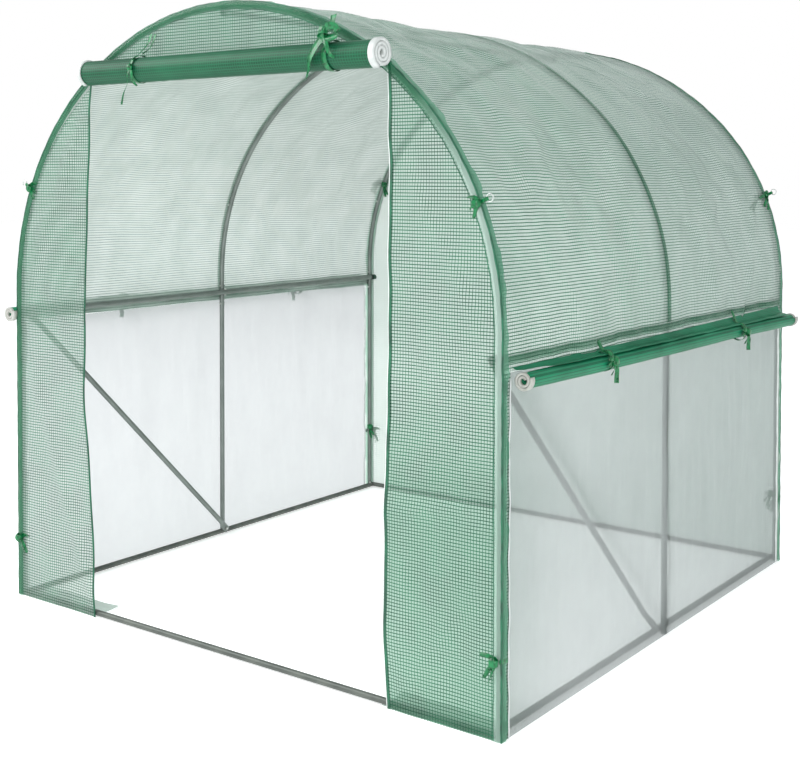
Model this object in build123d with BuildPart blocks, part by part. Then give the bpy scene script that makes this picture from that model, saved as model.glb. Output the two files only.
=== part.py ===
import os
from math import cos, hypot, pi, radians, sin

from build123d import *

# Walk-in polytunnel, millimetres. The origin is the middle of the ground plan,
# x runs to the right seen from the door, y to the back, z up.

# tube stock: a swaged end narrows to a spigot that slides into the next tube
tube_outer = 19.0
tube_wall = 0.8
tube_radius = tube_outer / 2
bore_radius = tube_radius - tube_wall
slip = 0.3
spigot_radius = bore_radius - slip
spigot_bore = spigot_radius - tube_wall
spigot_length = 45.0
neck_length = 4.0

# hoops: straight legs, then an arch of two radii tangent at turn_angle
half_span = 990.5
bay = 990.5
leg_height = 970.0
stub_length = 91.0
shoulder_height = leg_height + stub_length
rise = 929.5
crown_height = shoulder_height + rise
turn_angle = 45.0
joint_angle = 17.0
turn = radians(turn_angle)
radius_step = (half_span - rise) / (cos(turn) + sin(turn) - 1)
shoulder_radius = half_span - radius_step * cos(turn)
crown_radius = shoulder_radius + radius_step
shoulder_centre = half_span - shoulder_radius
crown_centre = crown_height - crown_radius
spigot_angle = spigot_length / shoulder_radius * 180 / pi
neck_angle = neck_length / shoulder_radius * 180 / pi

# film cover
film = 2.0
film_gap = tube_radius + slip
film_face = film_gap + film
front_film = bay + film_gap
roof_reach = front_film + film
outer_face = half_span + film_face

# rails and bars, held on the inside of the hoops
rail_lift = 28.0
rail_height = leg_height + rail_lift
rail_reach = front_film - slip
inside_x = half_span - tube_outer - slip
ridge_height = crown_height - tube_outer - slip
bar_height = film + slip + tube_radius
side_bar_reach = bay - tube_radius - slip
cross_bar_reach = half_span - tube_radius - slip

# braces with their ends pressed flat against the rail and the ground bar
tongue_width = 28.0
tongue_thickness = 2 * tube_wall
tongue_length = 30.0
flare_length = 40.0
flare_edge = 4.0
bore_inset = 8.0
bore_lag = 3.0
bolt_hole = 6.5
bolt_inset = 12.0
brace_x = inside_x - tube_outer - slip
tongue_shift = tube_radius - tongue_thickness / 2

# edges of the sheets
roof_drop = 32.0
roof_foot = rail_height - roof_drop
seam = 0.5
side_top = roof_foot - seam
return_width = 38.0
skirt_width = 100.0
gable_depth = 190.0
gable_foot = crown_height - gable_depth
panel_top = gable_foot - seam
door_edge = {"left": 597.0, "right": 624.0}
door_sag = {"left": 45.0, "right": 6.0}

# side nets
net = 1.2
net_reach = roof_reach - return_width - seam

# rolled side curtains and their straps
strap = 1.5
strap_width = 16.0
wind_gap = 0.6
curtain_radius = 24.0
curtain_pitch = 4.0
curtain_turns = 4
curtain_x = outer_face + slip + strap + slip + curtain_radius
curtain_drop = {"left": 18.0, "right": 58.0}
curtain_ahead = {"left": 27.0, "right": -45.0}
curtain_behind = 38.0
tie_spread = 500.0
tab_lift = 18.0

# rolled door and its straps
door_radius = 42.0
door_pitch = 6.0
door_turns = 5
door_lift = 12.0
door_height = gable_foot + door_lift
door_back = roof_reach + slip + strap + slip
door_roll_left = -565.0
door_roll_right = 646.0
door_tie_x = (-311.0, 470.0)
door_tab = 64.0

# guy rings on tapes sewn into the arch seams, and tapes round the corner legs
ring_angle = 24.0
ring_radius = 10.0
ring_wire = 1.5
tape_width = 15.0
tape_inside = 14.0
tape_outside = 16.0
leg_tape_height = 240.0
leg_tape_reach = 30.0

# The middle hoop stands a little behind the origin, as the door roll juts out
# further than the side curtains do.
front_reach = door_back + 2 * door_radius + slip + strap
rear_reach = bay + curtain_behind
middle = (front_reach - rear_reach) / 2
door_y = middle - door_back - door_radius
rows = {"front": middle - bay, "middle": middle, "rear": middle + bay}
sides = {"left": -1.0, "right": 1.0}

os.makedirs("parts", exist_ok=True)


# Upright cross plane at a distance behind the middle hoop: its local axes are
# world x and world z.
def cross_plane(back):
    return Plane.XZ.offset(-(middle + back))


# Label a finished piece and write its file.
def save(part, name):
    part.label = name
    export_step(part, "parts/" + name + ".step")


# Section of a hollow tube.
def tube_section(plane, outer, inner):
    with BuildSketch(plane) as section:
        Circle(outer)
        Circle(inner, mode=Mode.SUBTRACT)
    return section.sketch


# Straight tube between two points. A swaged one has a neck at its start and a
# spigot that reaches back into the tube before it.
def straight_tube(start, finish, swaged=False):
    run = Vector(*finish) - Vector(*start)
    foot = Plane(origin=start, z_dir=run)
    neck = neck_length if swaged else 0.0
    with BuildPart() as tube:
        extrude(tube_section(foot.offset(neck), tube_radius, bore_radius), amount=run.length - neck)
        if swaged:
            extrude(tube_section(foot, tube_radius, spigot_bore), amount=neck_length)
            extrude(tube_section(foot, spigot_radius, spigot_bore), amount=-spigot_length)
    return tube.part


# Point on a shoulder arc at an angle above the horizontal, at a distance off
# outside the hoop axis.
def shoulder_point(way, angle, y, off=0.0):
    across = shoulder_centre + (shoulder_radius + off) * cos(radians(angle))
    up = shoulder_height + (shoulder_radius + off) * sin(radians(angle))
    return (way * across, y, up)


# Plane square to a shoulder arc at an angle, facing up the arch.
def shoulder_plane(way, angle, y, off=0.0):
    out = (way * cos(radians(angle)), 0.0, sin(radians(angle)))
    along = (-way * sin(radians(angle)), 0.0, cos(radians(angle)))
    return Plane(origin=shoulder_point(way, angle, y, off), x_dir=out, z_dir=along)


# Tube bent along the shoulder arc of one side from an angle through an arc.
def shoulder_tube(way, y, angle, arc, outer, inner):
    spin = Axis((way * shoulder_centre, y, shoulder_height), (0.0, -way, 0.0))
    revolve(tube_section(shoulder_plane(way, angle, y), outer, inner), axis=spin, revolution_arc=arc)


# Half of a hoop's crown: spigot, neck, the rest of the shoulder bend, then half
# of the crown bend.
def crown_half(way, y):
    bend_start = joint_angle + neck_angle
    shoulder_tube(way, y, joint_angle - spigot_angle, spigot_angle, spigot_radius, spigot_bore)
    shoulder_tube(way, y, joint_angle, neck_angle, tube_radius, spigot_bore)
    shoulder_tube(way, y, bend_start, turn_angle - bend_start, tube_radius, bore_radius)
    section = tube_section(shoulder_plane(way, turn_angle, y), tube_radius, bore_radius)
    spin = Axis((0.0, y, crown_centre), (0.0, -way, 0.0))
    revolve(section, axis=spin, revolution_arc=90 - turn_angle)


# Outline of the arch at a distance off outside the hoop axis, closed at the foot.
def arch_edges(off, foot):
    width = half_span + off
    bend = shoulder_radius + off
    Line((width, foot), (width, shoulder_height))
    CenterArc((shoulder_centre, shoulder_height), bend, 0, turn_angle)
    CenterArc((0, crown_centre), crown_radius + off, turn_angle, 180 - 2 * turn_angle)
    CenterArc((-shoulder_centre, shoulder_height), bend, 180 - turn_angle, turn_angle)
    Line((-width, shoulder_height), (-width, foot))
    Line((-width, foot), (width, foot))


# Where a winding crosses the level of its axis after so many half turns.
def winding_stop(core, step, half):
    return core + half * step if half % 2 == 0 else -core - (half + 1) * step


# One edge of a wound band, as half circles that grow by a step each time.
def winding_edge(core, step, halves, way):
    for half in range(halves):
        near = way * winding_stop(core, step, half)
        far = way * winding_stop(core, step, half + 1)
        height = abs(near - far) / 2
        over = height if half % 2 == 0 else -height
        ThreePointArc((near, 0), ((near + far) / 2, over), (far, 0))


# Cross-section of a rolled sheet: a band wound so many turns out to a radius.
def rolled_section(plane, outer, pitch, turns, way):
    step = pitch / 2
    layer = pitch - wind_gap
    halves = 2 * turns
    core = outer - halves * step
    with BuildSketch(plane) as section:
        with BuildLine():
            winding_edge(core, step, halves, way)
            winding_edge(core - layer, step, halves, way)
            Line((way * core, 0), (way * (core - layer), 0))
            Line((way * outer, 0), (way * (outer - layer), 0))
        make_face()
    return section.sketch


# Strap round a roll, with a flat tab standing against the sheet behind it.
def strap_section(plane, radius, tab, way):
    with BuildSketch(plane) as section:
        Circle(radius + slip + strap)
        with Locations((way * (radius + slip + strap / 2), 0)):
            Rectangle(strap, tab, align=(Align.CENTER, Align.MIN))
        Circle(radius + slip, mode=Mode.SUBTRACT)
    return section.sketch


# Hoops in five pieces each: two legs, two bends and a crown.
for row, y in rows.items():
    for side, way in sides.items():
        foot = (way * half_span, y, 0.0)
        head = (way * half_span, y, leg_height)
        spring = (way * half_span, y, shoulder_height)
        save(straight_tube(foot, head), row + "_" + side + "_leg")
        stub = straight_tube(head, spring, swaged=True)
        with BuildPart() as bend:
            add(stub)
            shoulder_tube(way, y, 0.0, joint_angle, tube_radius, bore_radius)
        save(bend.part, row + "_" + side + "_bend")
    with BuildPart() as crown:
        crown_half(1.0, y)
        crown_half(-1.0, y)
    save(crown.part, row + "_crown")

# Side rails and ridge in two lengths that join at the middle hoop.
runs = {"left_rail": (-inside_x, rail_height), "right_rail": (inside_x, rail_height), "ridge": (0.0, ridge_height)}
for name, (x, z) in runs.items():
    start = (x, middle, z)
    save(straight_tube(start, (x, middle - rail_reach, z)), "front_" + name)
    save(straight_tube(start, (x, middle + rail_reach, z), swaged=True), "rear_" + name)

# Ground bars: one along each side, and two lengths across at the front and rear.
for side, way in sides.items():
    start = (way * inside_x, middle - side_bar_reach, bar_height)
    finish = (way * inside_x, middle + side_bar_reach, bar_height)
    save(straight_tube(start, finish), side + "_ground_bar")
    for row in ("front", "rear"):
        start = (0.0, rows[row], bar_height)
        finish = (way * cross_bar_reach, rows[row], bar_height)
        save(straight_tube(start, finish, swaged=side == "right"), row + "_" + side + "_ground_bar")


# Flat oval section of a brace's tongue, shifted towards the leg.
def tongue_section(plane, width, thickness):
    with BuildSketch(plane) as section:
        with Locations((tongue_shift, 0)):
            SlotOverall(width, thickness, rotation=90)
    return section.sketch


# Round section of a brace.
def round_section(plane, radius):
    with BuildSketch(plane) as section:
        Circle(radius)
    return section.sketch


# Brace between its tongues: flared from flat to round, round, flared back to flat.
# The bore's flares start further in than the outside's and turn round later.
def brace_body(top, radius, width, thickness, inset, lag, mode):
    flat_start = tongue_length + inset
    round_start = tongue_length + flare_length + lag
    upper = round_section(top.offset(round_start), radius)
    lower = round_section(top.offset(brace_run - round_start), radius)
    extrude(upper, amount=brace_run - 2 * round_start, mode=mode)
    loft([tongue_section(top.offset(flat_start), width, thickness), upper], mode=mode)
    loft([lower, tongue_section(top.offset(brace_run - flat_start), width, thickness)], mode=mode)


# Braces: round tube that flares into a flat tongue with a bolt hole at each end.
brace_drop = rail_height - bar_height
brace_run = hypot(bay, brace_drop)
bore_width = tongue_width - 2 * flare_edge
down = (0.0, bay, -brace_drop)
for side, way in sides.items():
    top = Plane(origin=(way * brace_x, rows["front"], rail_height), x_dir=(way, 0, 0), z_dir=down)
    with BuildPart() as brace:
        brace_body(top, tube_radius, tongue_width, tongue_thickness, 0.0, 0.0, Mode.ADD)
        brace_body(top, bore_radius, bore_width, tube_wall, bore_inset, bore_lag, Mode.SUBTRACT)
        for near in (0.0, brace_run - tongue_length):
            tongue = tongue_section(top.offset(near), tongue_width, tongue_thickness)
            extrude(tongue, amount=tongue_length)
        for along in (bolt_inset, brace_run - bolt_inset):
            with BuildSketch(Plane(origin=top.offset(along).origin, x_dir=down, z_dir=(way, 0, 0))):
                Circle(bolt_hole / 2)
            extrude(amount=tube_outer, mode=Mode.SUBTRACT)
    save(brace.part, side + "_brace")

# Roof film over all three hoops.
with BuildPart() as roof:
    with BuildSketch(cross_plane(-roof_reach)):
        with BuildLine():
            arch_edges(film_face, roof_foot)
        make_face()
        with BuildLine():
            arch_edges(film_gap, roof_foot - film)
        make_face(mode=Mode.SUBTRACT)
    extrude(amount=-2 * roof_reach)
save(roof.part, "roof_film")

# Front gable above the door, cut straight along its foot.
with BuildPart() as gable:
    with BuildSketch(cross_plane(-front_film)):
        with BuildLine():
            arch_edges(tube_radius, roof_foot)
        make_face()
        with Locations((0, gable_foot)):
            Rectangle(2 * half_span, 2 * gable_depth, align=(Align.CENTER, Align.MIN), mode=Mode.INTERSECT)
    extrude(amount=film)
save(gable.part, "front_gable_film")


# Outline, seen from above, of film turned back round a corner leg. Face is -1 in
# front and 1 behind.
def corner_return(way, face):
    outside = middle + face * roof_reach
    inside = middle + face * front_film
    back_edge = outside - face * return_width
    Polyline(
        (way * half_span, inside),
        (way * half_span, outside),
        (way * outer_face, outside),
        (way * outer_face, back_edge),
        (way * (outer_face - film), back_edge),
        (way * (outer_face - film), inside),
        close=True,
    )


# Front panels either side of the door. Each has a slack inner edge, turns back
# round its leg and has a skirt that runs in along the ground under the front bar.
for side, way in sides.items():
    edge = way * door_edge[side]
    slack = way * (door_edge[side] + door_sag[side])
    skirt_front = middle - roof_reach
    skirt_end = skirt_front + skirt_width
    with BuildPart() as panel:
        with BuildSketch(cross_plane(-front_film)):
            with BuildLine():
                arch_edges(tube_radius, 0)
            make_face()
            with BuildLine():
                ThreePointArc((edge, 0), (slack, panel_top / 2), (edge, panel_top))
                Polyline((edge, panel_top), (way * outer_face, panel_top), (way * outer_face, 0), (edge, 0))
            make_face(mode=Mode.INTERSECT)
        extrude(amount=film)
        with BuildSketch(Plane.XY):
            with BuildLine():
                corner_return(way, -1.0)
            make_face()
        extrude(amount=side_top)
        with BuildSketch(Plane.XY):
            with BuildLine():
                Polyline(
                    (edge, skirt_front),
                    (edge, skirt_end),
                    (way * cross_bar_reach, skirt_end),
                    (way * cross_bar_reach, skirt_front),
                    close=True,
                )
            make_face()
        extrude(amount=film)
    save(panel.part, "front_" + side + "_panel")

# Rear wall in one piece, turned back round both rear legs.
with BuildPart() as rear_wall:
    with BuildSketch(cross_plane(roof_reach)):
        with BuildLine():
            arch_edges(tube_radius, 0)
        make_face()
    extrude(amount=film)
    with BuildSketch(Plane.XY):
        for way in sides.values():
            with BuildLine():
                corner_return(way, 1.0)
            make_face()
    extrude(amount=side_top)
save(rear_wall.part, "rear_wall_film")

# Side nets from the foot of the roof film to the ground.
for side, way in sides.items():
    with BuildPart() as side_net:
        with BuildSketch(Plane.YZ.offset(way * (half_span + film_gap))):
            with Locations((middle, 0)):
                Rectangle(2 * net_reach, side_top, align=(Align.CENTER, Align.MIN))
        extrude(amount=way * net)
    save(side_net.part, side + "_side_net")


# Upright plane across a side curtain's roll, square to it and facing the door.
def curtain_plane(side, way, back):
    height = rail_height - curtain_drop[side]
    return Plane(origin=(way * curtain_x, middle + back, height), x_dir=(1, 0, 0), z_dir=(0, -1, 0))


# Side curtains rolled up under the rails, and the straps that hold them.
for side, way in sides.items():
    ahead = bay + curtain_ahead[side]
    with BuildPart() as curtain:
        plane = curtain_plane(side, way, -ahead)
        section = rolled_section(plane, curtain_radius, curtain_pitch, curtain_turns, -way)
        extrude(section, amount=-(ahead + rear_reach))
    save(curtain.part, side + "_curtain_roll")

with BuildPart() as curtain_ties:
    for side, way in sides.items():
        for back in (-tie_spread, tie_spread):
            tab = curtain_drop[side] + tab_lift
            plane = curtain_plane(side, way, back + strap_width / 2)
            extrude(strap_section(plane, curtain_radius, tab, -way), amount=strap_width)
save(curtain_ties.part, "curtain_ties")


# Upright plane along the tunnel at a distance x, square to the door's roll.
def door_plane(x):
    return Plane(origin=(x, door_y, door_height), x_dir=(0, 1, 0), z_dir=(1, 0, 0))


# Door rolled up under the gable, and its two straps.
with BuildPart() as door:
    section = rolled_section(door_plane(door_roll_left), door_radius, door_pitch, door_turns, 1.0)
    extrude(section, amount=door_roll_right - door_roll_left)
save(door.part, "door_roll")

with BuildPart() as door_ties:
    for x in door_tie_x:
        section = strap_section(door_plane(x - strap_width / 2), door_radius, door_tab, 1.0)
        extrude(section, amount=strap_width)
save(door_ties.part, "door_ties")

# Guy rings: each tape stands out of the arch seam and carries a wire ring.
with BuildPart() as guy_rings:
    for face in (-1.0, 1.0):
        for way in sides.values():
            y = middle + face * (roof_reach + slip)
            out = (way * cos(radians(ring_angle)), 0.0, sin(radians(ring_angle)))
            root = shoulder_point(way, ring_angle, y, film_face)
            with BuildSketch(Plane(origin=root, x_dir=out, z_dir=(0.0, face, 0.0))):
                with Locations(((tape_outside - tape_inside) / 2, 0)):
                    Rectangle(tape_outside + tape_inside, tape_width)
            extrude(amount=strap)
            hub_y = y + face * strap / 2
            hub_off = film_face + tape_outside + ring_radius - ring_wire / 2
            with BuildSketch(shoulder_plane(way, ring_angle, hub_y, hub_off)):
                with Locations((ring_radius, 0)):
                    Circle(ring_wire)
            revolve(axis=Axis(shoulder_point(way, ring_angle, hub_y, hub_off), (0.0, 1.0, 0.0)))
save(guy_rings.part, "guy_rings")

# Tapes that bind the film round each corner leg.
with BuildPart() as leg_tapes:
    with BuildSketch(Plane.XY.offset(leg_tape_height)):
        for face in (-1.0, 1.0):
            for way in sides.values():
                x = way * (outer_face + slip)
                y = middle + face * (roof_reach + slip)
                with BuildLine():
                    Polyline(
                        (x - way * leg_tape_reach, y),
                        (x, y),
                        (x, y - face * leg_tape_reach),
                        (x + way * strap, y - face * leg_tape_reach),
                        (x + way * strap, y + face * strap),
                        (x - way * leg_tape_reach, y + face * strap),
                        close=True,
                    )
                make_face()
    extrude(amount=tape_width)
save(leg_tapes.part, "leg_tapes")
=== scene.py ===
import math
import bmesh
import bpy
import numpy as np
from mathutils import Matrix, Vector


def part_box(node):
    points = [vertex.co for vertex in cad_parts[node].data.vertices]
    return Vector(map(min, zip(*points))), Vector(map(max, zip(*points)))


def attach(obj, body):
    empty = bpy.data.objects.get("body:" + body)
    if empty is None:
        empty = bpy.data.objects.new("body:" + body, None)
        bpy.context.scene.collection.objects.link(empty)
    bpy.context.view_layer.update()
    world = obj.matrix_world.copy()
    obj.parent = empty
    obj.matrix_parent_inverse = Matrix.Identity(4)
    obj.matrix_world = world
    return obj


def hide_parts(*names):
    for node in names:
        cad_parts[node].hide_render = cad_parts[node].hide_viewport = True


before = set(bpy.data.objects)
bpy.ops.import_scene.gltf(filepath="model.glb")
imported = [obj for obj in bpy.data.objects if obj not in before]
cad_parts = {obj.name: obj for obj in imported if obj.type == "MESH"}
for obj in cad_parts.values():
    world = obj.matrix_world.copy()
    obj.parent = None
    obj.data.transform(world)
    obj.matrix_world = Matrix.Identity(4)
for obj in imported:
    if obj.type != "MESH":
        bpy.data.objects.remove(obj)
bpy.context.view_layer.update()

# Metres. x runs to the right seen from the door, y to the back, z up.
tunnel = {
    "middle": 0.03085,          # y of the middle hoop
    "halfSpan": 0.9905,         # hoop line to the centre
    "bay": 0.9905,              # hoop to hoop
    "tubeRadius": 0.0095,
    "shoulderHeight": 1.061,
    "shoulderRadius": 0.88637,
    "crownRadius": 1.03364,
    "crownTop": 1.9905,         # top of the hoop line
    "filmReach": 1.0020,        # film face in front of and behind the middle hoop
    "filmOff": 0.0112,          # roof film outside the hoop line
    "roofFoot": 0.966,
    "railHeight": 0.998,
    "gableFoot": 1.8005,
    "pitch": 0.0092,            # thread to thread in the film
}
middle, halfSpan, filmReach = tunnel["middle"], tunnel["halfSpan"], tunnel["filmReach"]
shoulderHeight, shoulderRadius = tunnel["shoulderHeight"], tunnel["shoulderRadius"]
crownRadius = tunnel["crownRadius"]
crownTop = tunnel["crownTop"]
shoulderCentre, crownCentre = halfSpan - shoulderRadius, crownTop - crownRadius
crownArc = crownRadius * math.pi / 4
shoulderArc = shoulderRadius * math.pi / 4
roofHalf = crownArc + shoulderArc + shoulderHeight - tunnel["roofFoot"]
hoopHalf = crownArc + shoulderArc + shoulderHeight
sideWay = {"left": -1.0, "right": 1.0}


# Even steps from start to stop as a row, for the second index of a grid.
def rowOf(start, stop, count):
    return np.linspace(start, stop, count)[None, :]


# Even steps from start to stop as a column, for the first index of a grid.
def columnOf(start, stop, count):
    return np.linspace(start, stop, count)[:, None]


# Grid of points (or of u and v) whose parts are numbers, rows, columns or grids.
def gridOf(*parts):
    return np.stack(np.broadcast_arrays(*parts), -1)


# Meshes.


# One mesh from grids of points, each an array (rows, columns, 3): every four
# neighbours make one face, and flip turns the faces of a grid round.
def meshFromGrids(name, grids, material, uvs=None, smooth=True, flips=None):
    points, faces, uvList, start = [], [], [], 0
    for index, grid in enumerate(grids):
        rows, columns = grid.shape[:2]
        number = start + np.arange(rows * columns).reshape(rows, columns)
        a, b, c, d = number[:-1, :-1], number[1:, :-1], number[1:, 1:], number[:-1, 1:]
        order = (a, d, c, b) if flips and flips[index] else (a, b, c, d)
        faces.append(np.stack([k.ravel() for k in order], 1))
        points.append(grid.reshape(-1, 3))
        if uvs is not None:
            uvList.append(uvs[index].reshape(-1, 2))
        start += rows * columns
    return rawMesh(name, np.concatenate(points), np.concatenate(faces), material,
        np.concatenate(uvList) if uvList else None, smooth)


# One mesh object from points (n, 3) and four-cornered faces (m, 4), with the
# points' own u and v where they are given.
def rawMesh(name, points, faces, material, uv=None, smooth=True):
    mesh = bpy.data.meshes.new(name)
    mesh.vertices.add(len(points))
    mesh.vertices.foreach_set("co", np.ascontiguousarray(points, np.float32).ravel())
    mesh.loops.add(faces.size)
    mesh.loops.foreach_set("vertex_index", np.ascontiguousarray(faces, np.int32).ravel())
    mesh.polygons.add(len(faces))
    mesh.polygons.foreach_set("loop_start", np.arange(0, faces.size, 4, dtype=np.int32))
    mesh.polygons.foreach_set("use_smooth", np.full(len(faces), smooth))
    if uv is not None:
        layer = mesh.uv_layers.new(name="own")
        layer.data.foreach_set("uv", np.ascontiguousarray(uv[faces.ravel()], np.float32).ravel())
    mesh.update(calc_edges=True)
    mesh.validate()
    made = bpy.data.objects.new(name, mesh)
    bpy.context.scene.collection.objects.link(made)
    mesh.materials.append(material)
    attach(made, "root")
    return made


# Many flat ribbons as grids of two columns: edgeA and edgeB are arrays
# (ribbons, samples, 3) that hold the two long edges.
def ribbonGrids(edgeA, edgeB):
    return [np.stack([edgeA[i], edgeB[i]], 1) for i in range(len(edgeA))]


# A tube: circle points of a radius around each point of a path, square to it.
def tubeGrid(path, radius, sides=12):
    path = np.asarray(path, float)
    along = np.gradient(path, axis=0)
    along /= np.linalg.norm(along, axis=1, keepdims=True)
    guide = np.array([0.0, 0.0, 1.0]) if abs(along[0, 2]) < 0.9 else np.array([1.0, 0.0, 0.0])
    across = np.cross(along, guide)
    across /= np.linalg.norm(across, axis=1, keepdims=True)
    other = np.cross(across, along)
    turn = np.linspace(0, 2 * np.pi, sides + 1)
    size = np.broadcast_to(np.asarray(radius, float), (len(path),))[:, None, None]
    ring = across[:, None] * np.cos(turn)[None, :, None] + other[:, None] * np.sin(turn)[None, :, None]
    return path[:, None] + size * ring


# Smooth curve through a few points: a cubic between neighbours, whose slope at a
# point is half the step from the one before to the one after.
def smoothPath(points, samples=12):
    p = np.asarray(points, float)
    p = np.concatenate([[2 * p[0] - p[1]], p, [2 * p[-1] - p[-2]]])
    t = np.linspace(0, 1, samples, endpoint=False)[None, :, None]
    a, b, c, d = p[:-3, None], p[1:-2, None], p[2:-1, None], p[3:, None]
    square, cube = 2 * a - 5 * b + 4 * c - d, 3 * b - a - 3 * c + d
    curve = 0.5 * (2 * b + (c - a) * t + square * t**2 + cube * t**3)
    return np.concatenate([curve.reshape(-1, 3), p[-2:-1]])


# Surfaces of the tunnel.


# Point at a signed length from the crown along the hoop line, at a distance off
# outside it: crown arc, then shoulder arc, then the straight leg.
def archPoint(s, off):
    s, off = np.broadcast_arrays(np.asarray(s, float), np.asarray(off, float))
    d, way = np.abs(s), np.where(s < 0, -1.0, 1.0)
    crown = np.minimum(d, crownArc) / crownRadius
    bend = np.pi / 4 + np.clip(d - crownArc, 0, shoulderArc) / shoulderRadius
    drop = np.maximum(d - crownArc - shoulderArc, 0)
    onCrown = d <= crownArc
    angle = np.where(onCrown, crown, bend)
    radius = np.where(onCrown, crownRadius, shoulderRadius) + off
    across = np.where(onCrown, 0.0, shoulderCentre) + radius * np.sin(angle)
    up = np.where(onCrown, crownCentre, shoulderHeight) + radius * np.cos(angle) - drop
    return way * across, up


# Half width of the arch at a height: straight, then the two arcs' circles.
def archWidth(z, off):
    z, height, radius = np.asarray(z, float), shoulderHeight, shoulderRadius + off
    crownSize = crownRadius + off
    shoulder = np.sqrt(np.maximum(radius**2 - (z - height) ** 2, 0))
    crown = np.sqrt(np.maximum(crownSize**2 - (z - crownCentre) ** 2, 0))
    turnZ = height + radius * math.cos(math.pi / 4)
    upper = np.where(z < turnZ, shoulderCentre + shoulder, crown)
    return np.where(z < height, halfSpan + off, upper)


# Height of the arch over a distance from the middle: the arcs' circles again.
def archTop(x, off):
    x, radius = np.abs(np.asarray(x, float)), shoulderRadius + off
    crownSize = crownRadius + off
    shoulder = np.sqrt(np.maximum(radius**2 - (x - shoulderCentre) ** 2, 0))
    crown = np.sqrt(np.maximum(crownSize**2 - x**2, 0))
    turnX = shoulderCentre + radius * math.sin(math.pi / 4)
    return np.where(x < turnX, crownCentre + crown, shoulderHeight + shoulder)


# Soft folds: a sum of waves over u and v with seeded directions and phases.
def softFolds(u, v, seed, waves, size, stretch=(1.0, 1.0)):
    rng = np.random.default_rng(seed)
    total = 0.0
    for wave in waves:
        for _ in range(3):
            heading = rng.uniform(0, np.pi)
            phase = rng.uniform(0, 2 * np.pi)
            along = u * math.cos(heading) * stretch[0] + v * math.sin(heading) * stretch[1]
            total = total + wave * np.sin(2 * np.pi / wave * along + phase)
    return size * total / (3 * sum(waves))


# A crease: a ridge with a bell-shaped section along the line from a to b,
# which dies away past both ends.
def crease(u, v, a, b, width, height):
    du, dv = b[0] - a[0], b[1] - a[1]
    length = math.hypot(du, dv)
    along = ((u - a[0]) * du + (v - a[1]) * dv) / length
    aside = ((v - a[1]) * du - (u - a[0]) * dv) / length
    ends = 1 / (1 + np.exp(-(along - 0.02) / 0.03)) / (1 + np.exp((along - length + 0.02) / 0.03))
    return height * np.exp(-((aside / width) ** 2)) * ends


foldSeeds = {"roof": 11, "left": 21, "right": 22, "gable": 31, "rear": 41, "leftNet": 51,
    "rightNet": 52}
roofFolds = {"waves": (0.55, 0.31, 0.17, 0.09), "size": 0.034, "stretch": (0.8, 1.2), "sag": 0.006}
endFolds = {"waves": (0.42, 0.23, 0.12), "stretch": (1.6, 0.7), "panel": 0.012}

# Creases of the roof film: two ends as s and t, width and height.
roofCreases = [
    ((1.35, -0.93), (0.45, -0.15), 0.040, 0.007),
    ((0.30, -0.90), (1.20, -0.45), 0.036, 0.006),
    ((0.95, -0.10), (0.25, -0.75), 0.036, 0.006),
    ((1.40, 0.06), (0.55, 0.62), 0.038, 0.007),
    ((0.35, 0.12), (0.95, 0.85), 0.036, 0.006),
    ((-1.30, -0.90), (-0.40, -0.35), 0.038, 0.007),
    ((-1.25, 0.10), (-0.50, 0.70), 0.038, 0.007),
    ((0.98, 0.88), (1.38, 0.18), 0.024, 0.010),
    ((1.12, 0.88), (1.64, 0.58), 0.024, 0.010),
    ((1.00, 0.72), (1.30, 0.12), 0.030, -0.007),
    ((1.20, 0.98), (1.66, 0.74), 0.028, -0.007),
    ((0.62, 0.92), (0.90, 0.30), 0.026, 0.007),
    ((0.60, -0.60), (0.30, -0.10), 0.024, 0.006),
    ((1.05, -0.92), (1.50, -0.55), 0.024, 0.007),
]


# Roof film at a length s along the arch and a distance t behind the middle hoop:
# the hoop line plus the film's distance, less a sag of sin(pi t / bay) ** 0.7,
# plus soft folds and creases that are cut off at both ends.
def roofPoint(s, t, lift=0.0):
    s, t = np.broadcast_arrays(np.asarray(s, float), np.asarray(t, float))
    free = np.sin(np.pi * np.clip(np.abs(t) / tunnel["bay"], 0, 1)) ** 0.7
    folds = softFolds(s, t, foldSeeds["roof"], roofFolds["waves"], roofFolds["size"],
        roofFolds["stretch"]) * free
    for a, b, width, height in roofCreases:
        folds = folds + crease(s, t, a, b, width, height) * free
    off = tunnel["filmOff"] - roofFolds["sag"] * free + np.clip(folds, -0.018, 0.013) + lift
    x, z = archPoint(s, off)
    return np.stack([x, middle + t, z], -1)


# Film on an end of the tunnel at a place across and a height: face is -1 in
# front and 1 behind, and the folds push it in and out.
def endPoint(x, z, face, seed, lift=0.0, size=0.010, extra=0.0):
    x, z = np.broadcast_arrays(np.asarray(x, float), np.asarray(z, float))
    rim = np.minimum(archWidth(z, tunnel["tubeRadius"]) - np.abs(x),
        archTop(x, tunnel["tubeRadius"]) - z)
    free = np.clip(rim / 0.12, 0, 1) * np.clip(z / 0.1, 0.2, 1)
    folds = (softFolds(x, z, seed, endFolds["waves"], size, endFolds["stretch"]) + extra) * free
    y = middle + face * (filmReach + lift + folds)
    return np.stack([x, y, z], -1)


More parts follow.
